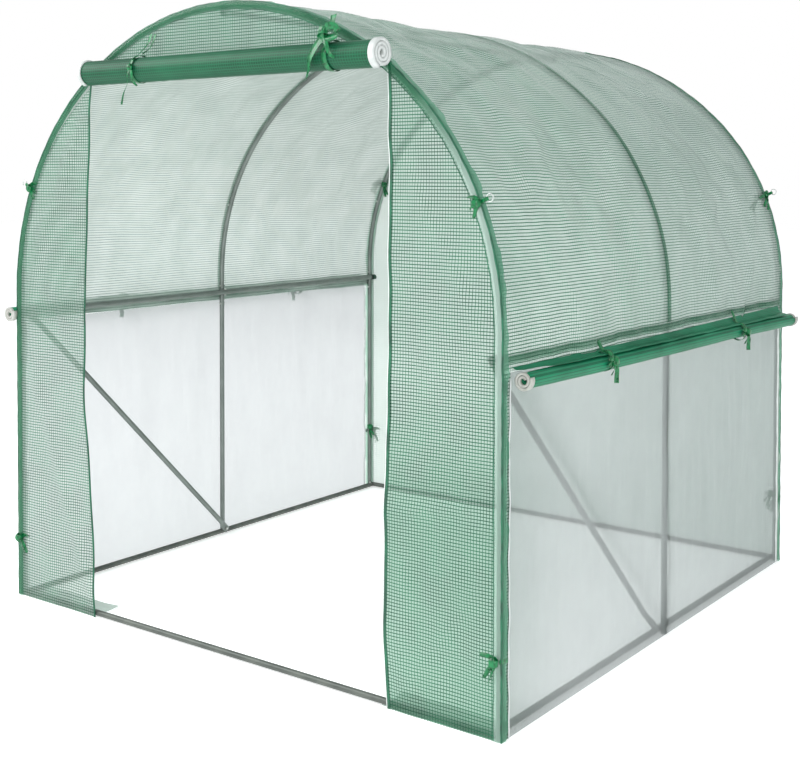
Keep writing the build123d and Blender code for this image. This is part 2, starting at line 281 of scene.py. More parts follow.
# Inner edges of the front panels: height and distance from the middle.
doorEdges = {
    "left": ((0.0, 0.594), (0.46, 0.616), (0.73, 0.640), (1.03, 0.642), (1.40, 0.622), (1.80, 0.596)),
    "right": ((0.0, 0.632), (0.20, 0.612), (0.41, 0.614), (0.72, 0.628), (1.14, 0.633), (1.80, 0.628)),
}
panelRest = 0.62
panelCreases = {
    "left": [((0.985, 1.0), (0.60, 1.76), 0.028, 0.009), ((0.985, 0.97), (0.60, 0.03), 0.028, 0.008),
        ((0.99, 1.0), (0.64, 1.02), 0.03, 0.006)],
    "right": [((0.99, 0.62), (0.64, 0.55), 0.018, 0.005), ((0.99, 0.99), (0.63, 1.60), 0.02, 0.005),
        ((0.66, 0.05), (0.97, 0.45), 0.02, 0.004)],
}


# Inner edge of a front panel at a height: straight lines between the given
# places, averaged over five heights so that the corners are soft.
def doorEdge(side, z):
    heights, edges = zip(*doorEdges[side])
    z = np.asarray(z, float)
    return sum(np.interp(z + shift, heights, edges) for shift in (-0.09, -0.045, 0.0, 0.045, 0.09)) / 5


# Front panel point: the rest place x0 (as if the inner edge were straight) is
# drawn aside with the edge, less and less towards the leg.
def panelPoint(side, x0, z, lift=0.0):
    x0, z = np.broadcast_arrays(np.asarray(x0, float), np.asarray(z, float))
    weight = np.clip((0.98 - x0) / (0.98 - panelRest), 0, 1)
    x = x0 + (doorEdge(side, z) - panelRest) * weight
    extra = sum(crease(x, z, a, b, width, height) for a, b, width, height in panelCreases[side])
    return endPoint(sideWay[side] * x, z, -1.0, foldSeeds[side], lift, endFolds["panel"], extra)


# Materials.


# sRGB hex text to linear red, green, blue, alpha.
def linearColour(text, alpha=1.0):
    parts = [int(text[i:i + 2], 16) / 255 for i in (1, 3, 5)]
    return tuple(c / 12.92 if c <= 0.04045 else ((c + 0.055) / 1.055) ** 2.4 for c in parts) + (alpha,)


# Adds a node with its settings: sockets by name, links by name, options by word.
def addNode(tree, kind, sockets=None, links=None, **options):
    made = tree.nodes.new(kind)
    for key, value in options.items():
        setattr(made, key, value)
    for key, value in (sockets or {}).items():
        made.inputs[key].default_value = value
    for key, source in (links or {}).items():
        tree.links.new(source, made.inputs[key])
    return made


# New material with an empty node tree.
def newMaterial(name):
    material = bpy.data.materials.new(name)
    material.use_nodes = True
    material.node_tree.nodes.clear()
    return material, material.node_tree


# Colour that wanders between two tones over a noise of some size in metres.
# Gives the colour and the noise.
def cloudyColour(tree, coords, size, dark, light):
    noise = addNode(tree, "ShaderNodeTexNoise", {"Scale": 1.0 / size, "Detail": 3.0,
        "Roughness": 0.55}, {"Vector": coords})
    ramp = addNode(tree, "ShaderNodeValToRGB", None, {"Fac": noise.outputs["Fac"]})
    ramp.color_ramp.elements[0].position = 0.35
    ramp.color_ramp.elements[0].color = linearColour(dark)
    ramp.color_ramp.elements[1].position = 0.65
    ramp.color_ramp.elements[1].color = linearColour(light)
    return ramp.outputs["Color"], noise


# Blends a colour (hex text or a socket) into another one between two places
# along an axis: the share is (place - start) / (stop - start), kept in 0 to 1.
def blendAlong(tree, coords, colour, other, axis, start, stop):
    apart = addNode(tree, "ShaderNodeSeparateXYZ", None, {"Vector": coords})
    share = addNode(tree, "ShaderNodeMapRange", {"From Min": start, "From Max": stop},
        {"Value": apart.outputs[axis]})
    colours, links = {"B": linearColour(other)}, {"Factor": share.outputs["Result"]}
    if isinstance(colour, str):
        colours["A"] = linearColour(colour)
    else:
        links["A"] = colour
    return addNode(tree, "ShaderNodeMix", colours, links, data_type="RGBA").outputs[2]


# Bump of a height, a strength and a distance in metres.
def bumpFrom(tree, height, strength, distance):
    return addNode(tree, "ShaderNodeBump", {"Strength": strength, "Distance": distance},
        {"Height": height})


# Clear film that tints what is behind it: a glossy skin with alpha and a
# translucent body, mixed with tinted see-through. It gives the eye a thin green
# pane whose creases catch a soft gloss.
def sheetMaterial(name, dark, light, finish):
    material, tree = newMaterial(name)
    coords = addNode(tree, "ShaderNodeTexCoord").outputs["Object"]
    colour, _ = cloudyColour(tree, coords, 0.16, dark, light)
    clear = addNode(tree, "ShaderNodeBsdfTransparent", {"Color": linearColour(finish["tint"])})
    # a second colour and tint blended in along an axis: deeper green near the ground on the right panel,
    # and a painted highlight down the right flank of the film over the hoops
    if "deep" in finish:
        where = (finish.get("deepAxis", "Z"), *finish["deepAt"])
        colour = blendAlong(tree, coords, colour, finish["deep"], *where)
        tint = blendAlong(tree, coords, finish["tint"], finish["deepTint"], *where)
        tree.links.new(tint, clear.inputs["Color"])
    crinkle = addNode(tree, "ShaderNodeTexNoise", {"Scale": 1.0 / finish["crinkle"], "Detail": 4.0,
        "Roughness": 0.6}, {"Vector": coords})
    stretched = addNode(tree, "ShaderNodeMapping", {"Rotation": (0.5, 0.3, 0.6),
        "Scale": (1.0, 0.35, 1.0)}, {"Vector": coords})
    buckle = addNode(tree, "ShaderNodeTexNoise", {"Scale": 1.0 / finish["buckle"], "Detail": 3.0,
        "Roughness": 0.7, "Distortion": 0.6}, {"Vector": stretched.outputs["Vector"]})
    broad = bumpFrom(tree, buckle.outputs["Fac"], finish["buckleBump"], 0.006)
    normal = bumpFrom(tree, crinkle.outputs["Fac"], finish["bump"], 0.002)
    tree.links.new(broad.outputs["Normal"], normal.inputs["Normal"])
    skin = addNode(tree, "ShaderNodeBsdfPrincipled", {"Roughness": finish["roughness"], "IOR": 1.5,
        "Alpha": finish["alpha"]}, {"Base Color": colour, "Normal": normal.outputs["Normal"]})
    body = addNode(tree, "ShaderNodeBsdfTranslucent", {"Color": linearColour(finish["glow"])},
        {"Normal": normal.outputs["Normal"]})
    milky = addNode(tree, "ShaderNodeMixShader", {"Fac": finish["glowShare"]},
        {1: skin.outputs["BSDF"], 2: body.outputs["BSDF"]})
    mixed = addNode(tree, "ShaderNodeMixShader", {"Fac": finish["clearShare"]},
        {1: milky.outputs["Shader"], 2: clear.outputs["BSDF"]})
    addNode(tree, "ShaderNodeOutputMaterial", None, {"Surface": mixed.outputs["Shader"]})
    return material


# Thread inside the film: matt, a little see-through, and another tone towards the
# back of the tunnel, painted light for threads seen against the light there.
def threadMaterial(name, dark, light, tint, clearShare, far):
    material, tree = newMaterial(name)
    coords = addNode(tree, "ShaderNodeTexCoord").outputs["Object"]
    colour, _ = cloudyColour(tree, coords, 0.10, dark, light)
    # painted light: the far tone stands for threads seen against the light
    colour = blendAlong(tree, coords, colour, far, "Y", -0.3, 0.5)
    twist = addNode(tree, "ShaderNodeTexNoise", {"Scale": 1200.0, "Detail": 1.0}, {"Vector": coords})
    normal = bumpFrom(tree, twist.outputs["Fac"], 0.3, 0.0005)
    skin = addNode(tree, "ShaderNodeBsdfPrincipled", {"Roughness": 0.5, "IOR": 1.5},
        {"Base Color": colour, "Normal": normal.outputs["Normal"]})
    clear = addNode(tree, "ShaderNodeBsdfTransparent", {"Color": linearColour(tint)})
    mixed = addNode(tree, "ShaderNodeMixShader", {"Fac": clearShare},
        {1: skin.outputs["BSDF"], 2: clear.outputs["BSDF"]})
    addNode(tree, "ShaderNodeOutputMaterial", None, {"Surface": mixed.outputs["Shader"]})
    return material


# Solid finish: cloudy colour, a fine bump and a roughness that wanders by 0.07.
def solidMaterial(name, dark, light, cloud, roughness, metallic=0.0, bumpSize=0.004, bump=0.15,
        distance=0.0006):
    material, tree = newMaterial(name)
    coords = addNode(tree, "ShaderNodeTexCoord").outputs["Object"]
    colour, noise = cloudyColour(tree, coords, cloud, dark, light)
    grain = addNode(tree, "ShaderNodeTexNoise", {"Scale": 1.0 / bumpSize, "Detail": 3.0},
        {"Vector": coords})
    normal = bumpFrom(tree, grain.outputs["Fac"], bump, distance)
    spread = addNode(tree, "ShaderNodeMapRange", {"From Min": 0.3, "From Max": 0.7,
        "To Min": roughness - 0.07, "To Max": roughness + 0.07}, {"Value": noise.outputs["Fac"]})
    values = {"Metallic": metallic}
    if metallic < 0.5:
        values["IOR"] = 1.5
    skin = addNode(tree, "ShaderNodeBsdfPrincipled", values,
        {"Base Color": colour, "Roughness": spread.outputs["Result"],
        "Normal": normal.outputs["Normal"]})
    addNode(tree, "ShaderNodeOutputMaterial", None, {"Surface": skin.outputs["BSDF"]})
    return material


# Share of a thread at each place: 1 within the thread's width of every pitch
# along u and v, worked out with a modulo and a comparison.
def threadMask(tree, uv, pitch, widths):
    apart = addNode(tree, "ShaderNodeSeparateXYZ", None, {"Vector": uv})
    rows = []
    for axis, width in zip(("X", "Y"), widths):
        step = addNode(tree, "ShaderNodeMath", {1: pitch}, {0: apart.outputs[axis]},
            operation="FLOORED_MODULO")
        rows.append(addNode(tree, "ShaderNodeMath", {1: width}, {0: step.outputs["Value"]},
            operation="LESS_THAN"))
    return addNode(tree, "ShaderNodeMath", None, {0: rows[0].outputs["Value"],
        1: rows[1].outputs["Value"]}, operation="MAXIMUM").outputs["Value"]


# Rolled film: many layers of gridded LDPE, so it is opaque, deep green and satin,
# with its own threads drawn over the cloudy colour.
def rolledMaterial(name, dark, light, thread, pitch, width, roughness=0.5, threadShare=0.55):
    material, tree = newMaterial(name)
    coordsNode = addNode(tree, "ShaderNodeTexCoord")
    colour, _ = cloudyColour(tree, coordsNode.outputs["Object"], 0.22, dark, light)
    mask = threadMask(tree, coordsNode.outputs["UV"], pitch, width)
    share = addNode(tree, "ShaderNodeMath", {1: threadShare}, {0: mask}, operation="MULTIPLY")
    mixed = addNode(tree, "ShaderNodeMix", {"B": linearColour(thread)},
        {"A": colour, "Factor": share.outputs["Value"]}, data_type="RGBA")
    normal = bumpFrom(tree, mask, 0.35, 0.0006)
    skin = addNode(tree, "ShaderNodeBsdfPrincipled", {"Roughness": roughness, "IOR": 1.5,
        "Specular IOR Level": 0.3}, {"Base Color": mixed.outputs[2],
        "Normal": normal.outputs["Normal"]})
    addNode(tree, "ShaderNodeOutputMaterial", None, {"Surface": skin.outputs["BSDF"]})
    return material


# films: shares of gloss, glow and see-through, and the size and strength of the
# crinkles
filmFinish = {"alpha": 0.6, "glow": "#f2faf6", "glowShare": 0.38, "tint": "#f1f8f4",
    "clearShare": 0.36, "roughness": 0.25, "crinkle": 0.016, "bump": 0.35, "buckle": 0.06,
    "buckleBump": 0.35}
# milky grid film, pale grey-green, with a broad soft gloss on its buckles
roofFilm = sheetMaterial("woven_ldpe_film_roof", "#c6d5cd", "#f1f8f4",
    dict(filmFinish, alpha=0.75, clearShare=0.27, glowShare=0.42, roughness=0.22, tint="#e9f2ed",
    bump=0.5, buckleBump=0.95))
# the same film where it is nearly clear, with a breath of green
wallFilm = sheetMaterial("woven_ldpe_film_walls", "#d9ebe0", "#e9f5ee", filmFinish)
# two layers of it over the doorway, so deeper green
gableFilm = sheetMaterial("woven_ldpe_film_gable", "#a3c6b5", "#bddccd",
    dict(filmFinish, tint="#cfe5da", clearShare=0.30))
# right panel: pale at the top, deeper green near the ground
panelFilm = sheetMaterial("woven_ldpe_film_right_panel", "#dcf0e5", "#edf9f2",
    dict(filmFinish, glowShare=0.50, clearShare=0.34, tint="#eef9f3", deep="#68ad8b",
    deepTint="#97ccb0", deepAt=(0.95, 0.55)))
# two layers pulled tight over a tube: dark green, with a painted highlight of silvery mint down the
# right flank
hoopFilm = sheetMaterial("doubled_film_over_hoop_painted_highlight", "#216848", "#3b8763",
    dict(filmFinish, alpha=0.55, glow="#5fae8a", glowShare=0.15, tint="#7cbf9f", clearShare=0.42,
    roughness=0.16, bump=0.15, deep="#cfe4db", deepTint="#e2f0ea", deepAxis="X", deepAt=(0.72, 0.90)))
# two layers over the rail and the middle hoop, dark green and satin
bandFilm = sheetMaterial("doubled_film_over_rail", "#1f5f45", "#34795a",
    dict(filmFinish, alpha=0.60, glow="#5fae8a", glowShare=0.12, tint="#8cc4a9", clearShare=0.36,
    roughness=0.2, bump=0.2))
# ragged hem, mint green with fine crinkles
hemFilm = sheetMaterial("doubled_film_hem", "#4fa583", "#8acbad",
    dict(filmFinish, alpha=0.55, glow="#9ad6ba", tint="#a9d9c2", clearShare=0.36, crinkle=0.007,
    bump=0.8))
# film that lies on the ground, dull grey-green
skirtFilm = sheetMaterial("film_skirt_on_ground", "#70867a", "#889d92",
    dict(filmFinish, alpha=0.9, clearShare=0.12))
# matt insect net that lets the light through evenly; its pale grey is darkened to a deep grey as painted
# shade
netCloth = sheetMaterial("insect_net_with_painted_shade", "#565c5a", "#6a706e",
    dict(filmFinish, alpha=0.85, glow="#f4f6f8", glowShare=0.42, tint="#e4e7e7", clearShare=0.30,
    roughness=0.75, crinkle=0.004, bump=0.5))
# threads: thin dark green lines; lighter towards the back and grey inside the roof, both painted light
# for threads seen against the light
threadPe = threadMaterial("green_pe_thread", "#164f39", "#226a4c", "#3a8060", 0.10, "#226a4c")
roofThread = threadMaterial("green_pe_thread_roof", "#1f6547", "#2f7a5a", "#458a6c", 0.12, "#4f6f62")
# the green thread painted grey inside the roof: painted shade of threads seen against the light
innerThread = threadMaterial("pe_thread_inside_painted_backlit_grey", "#7b8d86", "#93a49d", "#a0b0a8", 0.2, "#7b8a84")
# tapes: matt woven green and white, and a glossier green for the ties
seamTape = solidMaterial("green_seam_tape", "#124a35", "#1f6b4c", 0.05, 0.45, bumpSize=0.003, bump=0.4)
whiteTape = solidMaterial("white_pe_binding", "#d3d8d6", "#e8ebea", 0.05, 0.55, bumpSize=0.003,
    bump=0.3)
greenTape = solidMaterial("green_pe_tape", "#03502a", "#0a8048", 0.012, 0.32, bumpSize=0.006, bump=0.5,
    distance=0.001)
# rolled films: opaque dark green with their own grid
rolledDoorFilm = rolledMaterial("rolled_film_door", "#053a24", "#0a5235", "#1a7450", tunnel["pitch"],
    (0.0022, 0.0022))
rolledSideFilm = rolledMaterial("rolled_film_sides", "#0b6f4c", "#168a61", "#08402b", tunnel["pitch"],
    (0.0026, 0.0))
# dull grey tube with a satin gloss
galvanised = solidMaterial("galvanised_steel_tube", "#747b77", "#868d89", 0.10, 0.40, metallic=0.75,
    bumpSize=0.012, bump=0.05)
# matt off-white ends of the rolls, their white greyed as painted shade, less so on the door's, which is
# a little brighter
rollTape = solidMaterial("off_white_roll_end", "#a6a69f", "#c0c1bb", 0.02, 0.6, bumpSize=0.003,
    bump=0.3)
doorTape = solidMaterial("white_door_roll_end", "#bfc4c2", "#d6dad8", 0.03, 0.6, bumpSize=0.003,
    bump=0.3)
# the same steel at the ground, darker and duller
groundSteel = solidMaterial("galvanised_steel_darker_on_ground", "#565b57", "#6d726c", 0.08, 0.5,
    metallic=0.55, bumpSize=0.01, bump=0.10)
# bright bolts and rings, dark green caps
zincBolt = solidMaterial("zinc_plated_bolt", "#b9bcb8", "#d4d6d2", 0.01, 0.30, metallic=0.95,
    bumpSize=0.002, bump=0.1)
capPlastic = solidMaterial("dark_pe_cap", "#16382b", "#1f4a39", 0.02, 0.55)
ringWire = solidMaterial("ring_of_plated_wire", "#c5cac7", "#dfe3e1", 0.01, 0.3, metallic=0.9)

for name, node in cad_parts.items():
    node.data.materials.clear()
    node.data.materials.append(groundSteel if "ground_bar" in name else galvanised)
print("materials done")

# Camera, light and floor.

camera = {"place": (2.76731, -3.78719, 1.47806), "yaw": -0.639829, "pitch": 0.029765, "roll": -0.00157,
    "lens": 57.97, "shift": -0.2101}
forward = Vector((math.sin(camera["yaw"]) * math.cos(camera["pitch"]),
    math.cos(camera["yaw"]) * math.cos(camera["pitch"]), -math.sin(camera["pitch"])))
right = Vector((math.cos(camera["yaw"]), -math.sin(camera["yaw"]), 0))
up = right.cross(forward)
turned = Matrix.Rotation(camera["roll"], 3, forward) @ Matrix((right, up, -forward)).transposed()
cameraData = bpy.data.cameras.new("camera")
cameraData.lens = camera["lens"]
cameraData.sensor_width = 36.0
cameraData.shift_y = camera["shift"]
cameraData.clip_end = 60.0
cameraObject = bpy.data.objects.new("camera", cameraData)
cameraObject.matrix_world = Matrix.Translation(camera["place"]) @ turned.to_4x4()
bpy.context.scene.collection.objects.link(cameraObject)
bpy.context.scene.camera = cameraObject

lightSet = {
    "sky": 0.70,
    "key": {"place": (-4.6, -3.8, 4.6), "size": 4.0, "power": 300.0},
    "fill": {"place": (3.6, -5.6, 3.0), "size": 1.6, "power": 150.0},
    "back": {"place": (-2.0, 5.5, 4.0), "size": 5.0, "power": 80.0},
}
world = bpy.data.worlds.new("studio")
bpy.context.scene.world = world
world.use_nodes = True
worldTree = world.node_tree
worldTree.nodes.clear()
skyLight = addNode(worldTree, "ShaderNodeBackground", {"Color": linearColour("#fafdff"),
    "Strength": lightSet["sky"]})
backdrop = addNode(worldTree, "ShaderNodeBackground", {"Color": (1.0, 1.0, 1.0, 1.0), "Strength": 1.0})
seen = addNode(worldTree, "ShaderNodeLightPath")
worldMix = addNode(worldTree, "ShaderNodeMixShader", None, {0: seen.outputs["Is Camera Ray"],
    1: skyLight.outputs["Background"], 2: backdrop.outputs["Background"]})
addNode(worldTree, "ShaderNodeOutputWorld", None, {"Surface": worldMix.outputs["Shader"]})
for name in ("key", "fill", "back"):
    setting = lightSet[name]
    lamp = bpy.data.lights.new(name, "AREA")
    lamp.size = setting["size"]
    lamp.energy = setting["power"]
    lampObject = bpy.data.objects.new(name, lamp)
    lampObject.location = setting["place"]
    aim = Vector((0, 0, 0.9)) - Vector(setting["place"])
    lampObject.rotation_euler = aim.to_track_quat("-Z", "Y").to_euler()
    bpy.context.scene.collection.objects.link(lampObject)

floorMaterial, floorTree = newMaterial("matt_white_floor")
floorCoords = addNode(floorTree, "ShaderNodeTexCoord").outputs["Object"]
floorColour, _ = cloudyColour(floorTree, floorCoords, 1.5, "#f6f7f7", "#fafbfb")
floorSkin = addNode(floorTree, "ShaderNodeBsdfPrincipled", {"Roughness": 0.9,
    "Emission Color": (1.0, 1.0, 1.0, 1.0), "Emission Strength": 0.42}, {"Base Color": floorColour})
addNode(floorTree, "ShaderNodeOutputMaterial", None, {"Surface": floorSkin.outputs["BSDF"]})
floorMesh = bpy.data.meshes.new("floor")
floorMesh.from_pydata([(-30, -30, -0.0005), (30, -30, -0.0005), (30, 30, -0.0005), (-30, 30, -0.0005)],
    [], [(0, 1, 2, 3)])
floorObject = bpy.data.objects.new("floor", floorMesh)
floorMesh.materials.append(floorMaterial)
bpy.context.scene.collection.objects.link(floorObject)
bpy.context.scene.view_settings.view_transform = "Standard"
print("camera and light done")

# Roof film.

roof = {"reach": filmReach, "across": 360, "along": 180, "threadAlong": 0.0024, "threadAcross": 0.0014,
    "threadInside": 0.0020, "lift": 0.0012, "alongSteps": 101, "acrossSteps": 251, "insideSteps": 81}
s = columnOf(-roofHalf, roofHalf, roof["across"] + 1)
t = rowOf(-roof["reach"], roof["reach"], roof["along"] + 1)
roofSheet = meshFromGrids("roof_sheet", [roofPoint(s, t)], roofFilm, flips=[True])
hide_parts("roof_film")


# Threads on the roof film: a ribbon of a width over each line. The lines run
# lengthwise at places s on the arch, or over the arch at distances t.
def roofRibbons(lines, run, width, lift, lengthwise):
    edges = []
    for aside in (-width / 2, width / 2):
        place = (lines + aside, run) if lengthwise else (run, lines + aside)
        edges.append(roofPoint(*place, lift))
    return ribbonGrids(*edges)


roofAlong = np.arange(-roofHalf + 0.003, roofHalf - 0.003, tunnel["pitch"])[:, None]
roofAcross = np.arange(-roof["reach"] + 0.004, roof["reach"] - 0.004, tunnel["pitch"])[:, None]
grids = roofRibbons(roofAlong, rowOf(-roof["reach"], roof["reach"], roof["alongSteps"]),
    roof["threadAlong"], roof["lift"], True)
grids += roofRibbons(roofAcross, rowOf(-roofHalf, roofHalf, roof["acrossSteps"]), roof["threadAcross"],
    roof["lift"], False)
roofThreads = meshFromGrids("roof_threads", grids, roofThread, smooth=False)
grids = roofRibbons(roofAlong, rowOf(-roof["reach"], roof["reach"], roof["insideSteps"]),
    roof["threadInside"], -roof["lift"], True)
insideThreads = meshFromGrids("roof_threads_inside", grids, innerThread, smooth=False)
print("roof done")

# Front panels, gable and rear wall.

wall = {
    "upright": 0.0018, "level": 0.0026, "lift": 0.0013,  # thread widths, height off the film
    "returnWidth": 0.038, "returnOff": 0.0113,           # strip folded back round the leg
    "gableThreads": (0.0019, 0.0024), "rearThreads": (0.0014, 0.0018),
    "sideTop": 0.9655, "panelTop": 1.7995,
    "threadStop": -0.0105,                               # threads end inside the hoop's band
}


# Upright and level threads over a part of an end wall. point(x, z, lift) gives
# the surface, and the limits give where each thread starts and stops.
def wallThreads(point, xs, zLimits, zs, xLimits, lift, upright, level, steps):
    part = rowOf(0, 1, 91)
    low, high = zLimits(xs)
    keep = high - low > 0.01
    xs, low, high = xs[keep, None], low[keep, None], high[keep, None]
    rise = low + (high - low) * part
    grids = ribbonGrids(point(xs - upright / 2, rise, lift), point(xs + upright / 2, rise, lift))
    inner, outer = xLimits(zs)
    keep = outer - inner > 0.01
    zs, inner, outer = zs[keep, None], inner[keep, None], outer[keep, None]
    across = inner + (outer - inner) * rowOf(0, 1, steps)
    return grids + ribbonGrids(point(across, zs - level / 2, lift * 1.3),
        point(across, zs + level / 2, lift * 1.3))


# Waver of the folded strip's edge at a height: a sum of two sines.
def stripWaver(z):
    return 0.0018 * np.sin(z * 23.0) + 0.0012 * np.sin(z * 61.0 + 1.0)


rimOff = tunnel["tubeRadius"]
for side, way in sideWay.items():
    part = rowOf(0, 1, 61)
    z = np.concatenate([np.linspace(0.0, 1.06, 61), np.linspace(1.07, wall["panelTop"], 60)])[:, None]
    outer = archWidth(z, rimOff)
    front = panelPoint(side, panelRest + (np.maximum(outer, panelRest) - panelRest) * part, z)
    turned = rowOf(0, 1, 9)
    height = columnOf(0, wall["sideTop"], 60)
    back = middle - filmReach + turned * (wall["returnWidth"] + stripWaver(height))
    turnedStrip = gridOf(way * (halfSpan + wall["returnOff"]), back, height)
    panel = meshFromGrids("front_" + side + "_panel_sheet", [front, turnedStrip],
        panelFilm if way > 0 else wallFilm, flips=[way < 0, way < 0])
    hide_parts("front_" + side + "_panel")
    threads = wallThreads(
        lambda x, z, lift: panelPoint(side, x, z, lift),
        np.arange(panelRest + 0.004, halfSpan - 0.011, tunnel["pitch"]),
        lambda x: (np.zeros_like(x), np.minimum(archTop(x, wall["threadStop"]), wall["panelTop"])),
        np.arange(0.005, wall["panelTop"], tunnel["pitch"]),
        lambda z: (np.full_like(z, panelRest), np.maximum(archWidth(z, wall["threadStop"]), panelRest)),
        wall["lift"], wall["upright"], wall["level"], 41)
    levels = np.arange(0.005, wall["sideTop"], tunnel["pitch"])[:, None]
    outX = way * (halfSpan + wall["returnOff"] + wall["lift"])
    ends = middle - filmReach + rowOf(0, wall["returnWidth"], 3)
    threads += ribbonGrids(*[gridOf(outX, ends, levels + k * wall["level"]) for k in (-0.5, 0.5)])
    uprights = middle - filmReach + np.arange(0.006, wall["returnWidth"], tunnel["pitch"])[:, None]
    rise = rowOf(0, wall["sideTop"], 5)
    threads += ribbonGrids(*[gridOf(outX, uprights + k * wall["upright"], rise) for k in (-0.5, 0.5)])
    panelThreads = meshFromGrids("front_" + side + "_panel_threads", threads, threadPe, smooth=False)

part = rowOf(-1, 1, 121)
rows = columnOf(0, 1, 25)
gableSpan = archWidth(tunnel["gableFoot"], rimOff)
gableX = part * gableSpan
gableZ = tunnel["gableFoot"] + (archTop(gableX, rimOff) - tunnel["gableFoot"]) * rows
gableSheet = meshFromGrids("front_gable_sheet", [endPoint(gableX, gableZ, -1.0, foldSeeds["gable"])],
    gableFilm, flips=[True])
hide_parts("front_gable_film")
threads = wallThreads(
    lambda x, z, lift: endPoint(x, z, -1.0, foldSeeds["gable"], lift),
    np.arange(-gableSpan + 0.004, gableSpan, tunnel["pitch"]),
    lambda x: (np.full_like(x, tunnel["gableFoot"]), archTop(x, wall["threadStop"])),
    np.arange(tunnel["gableFoot"] + 0.004, 1.979, tunnel["pitch"]),
    lambda z: (-archWidth(z, wall["threadStop"]), archWidth(z, wall["threadStop"])),
    wall["lift"], *wall["gableThreads"], 121)
gableThreads = meshFromGrids("front_gable_threads", threads, threadPe, smooth=False)

part = rowOf(-1, 1, 121)
rows = columnOf(0, 1, 101)
rearX = part * (halfSpan + rimOff)
rearZ = archTop(rearX * 0.99999, rimOff) * rows
rearGrids = [endPoint(rearX, rearZ, 1.0, foldSeeds["rear"])]
rearFlips = [False]
for way in sideWay.values():
    height = columnOf(0, wall["sideTop"], 30)
    back = middle + filmReach - rowOf(0, wall["returnWidth"], 5)
    rearGrids.append(gridOf(way * (halfSpan + wall["returnOff"]), back, height))
    rearFlips.append(way > 0)
rearSheet = meshFromGrids("rear_wall_sheet", rearGrids, wallFilm, flips=rearFlips)
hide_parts("rear_wall_film")
threads = wallThreads(
    lambda x, z, lift: endPoint(x, z, 1.0, foldSeeds["rear"], lift),
    np.arange(-halfSpan - 0.004, halfSpan + 0.006, tunnel["pitch"]),
    lambda x: (np.zeros_like(x), archTop(x, rimOff)),
    np.arange(0.005, 1.998, tunnel["pitch"]),
    lambda z: (-archWidth(z, rimOff), archWidth(z, rimOff)),
    wall["lift"], *wall["rearThreads"], 61)
rearThreads = meshFromGrids("rear_wall_threads", threads, threadPe, smooth=False)
print("walls done")

# Hems and bindings.

hem = {
    "lift": 0.0016, "samples": 401, "scallop": 0.0085,
    # profiles round the end hoops: distances off the hoop line, then back from the face
    "over": ((-0.0112, -0.0085, -0.004, 0.0, 0.004, 0.0085, 0.0118, 0.0128, 0.0128),
        (0.0010, -0.0008, -0.0026, -0.0032, -0.0026, -0.0008, 0.0006, 0.0016, 0.004)),
    "strip": ((0.0134, 0.0136, 0.0136, 0.0134, 0.0132), (0.002, 0.008, 0.014, 0.019, 0.0245)),
    "innerSeam": ((-0.0138, -0.0108), (-0.0006, -0.0006)),
    "outerSeam": ((0.0100, 0.0128, 0.0138, 0.0138), (-0.0006, -0.0006, 0.0004, 0.0036)),
    # bands on the roof, over the rails and over the middle hoop, and the hoop band's seams
    "railBand": (0.0425, 0.0225), "railReach": 0.975, "railLift": 0.0021,
    "hoopStop": 0.045, "hoopBand": 0.0110, "hoopLift": 0.0022,
    "seamPlace": 0.0114, "seamHalf": 0.0011, "seamLift": 0.0026,
}


# Band round an arch from ground to ground: a profile of distances off the hoop
# line and back from the end's face, carried along the hoop line. face is -1 in
# front and 1 behind, and the last column wavers by the scallop, a sum of sines.
def archBand(face, offs, backs, scallop=0.0):
    s = columnOf(-hoopHalf, hoopHalf, hem["samples"])
    offs, backs = np.array(offs)[None, :], np.array(backs)[None, :]
    ripple = 0.0005 * np.sin(s * 47.0) + 0.0004 * np.sin(s * 113.0 + 1.0)
    share = rowOf(0, 1, offs.shape[1]) ** 2
    waver = scallop * (np.sin(s * 27.0) + 0.7 * np.sin(s * 61.0 + 1.0) + 0.3 * np.sin(s * 140.0)) / 2
    x, z = archPoint(s, offs + ripple + 0.4 * np.abs(waver) * share)
    y = middle + face * (filmReach + hem["lift"] - backs + waver * share)
    return np.stack([x, y, z], -1)


overs, strips, seams, bands = [], [], [], []
for face in (-1.0, 1.0):
    overs.append(archBand(face, *hem["over"]))
    strips.append(archBand(face, *hem["strip"], hem["scallop"]))
    seams.append(archBand(face, *hem["innerSeam"]))
    seams.append(archBand(face, *hem["outerSeam"]))
s = roofHalf - columnOf(*hem["railBand"], 5)
t = rowOf(-hem["railReach"], hem["railReach"], 181)
for way in sideWay.values():
    bands.append(roofPoint(way * s, t, hem["railLift"]))
s = columnOf(-roofHalf + hem["hoopStop"], roofHalf - hem["hoopStop"], 321)
bands.append(roofPoint(s, rowOf(-hem["hoopBand"], hem["hoopBand"], 7), hem["hoopLift"]))
for place in (-hem["seamPlace"], hem["seamPlace"]):
    t = place + rowOf(-hem["seamHalf"], hem["seamHalf"], 2)
    seams.append(roofPoint(s, t, hem["seamLift"]))
hoopBands = meshFromGrids("film_over_hoops", overs, hoopFilm, flips=[False, True])
bandPiece = meshFromGrids("film_over_rails", bands, bandFilm, flips=[False, True, True])
hems = meshFromGrids("roof_hems", strips, hemFilm, flips=[False, True])
seamPiece = meshFromGrids("arch_seams", seams, seamTape, flips=[False, False, True, True, True, True])


# Binding folded over an edge: an open U of three faces carried along the edge.
# edge (n, 3) is the line, inward (3,) points into the sheet, out (3,) off it.
def bindingGrid(edge, inward, out, width, thickness):
    inward, out = np.asarray(inward, float), np.asarray(out, float)
    offsets = [inward * width + out * thickness, inward * 0.001 + out * thickness, -inward * 0.001,
        inward * 0.001 - out * thickness, inward * width - out * thickness]
    return np.stack([edge + offset for offset in offsets], 1)


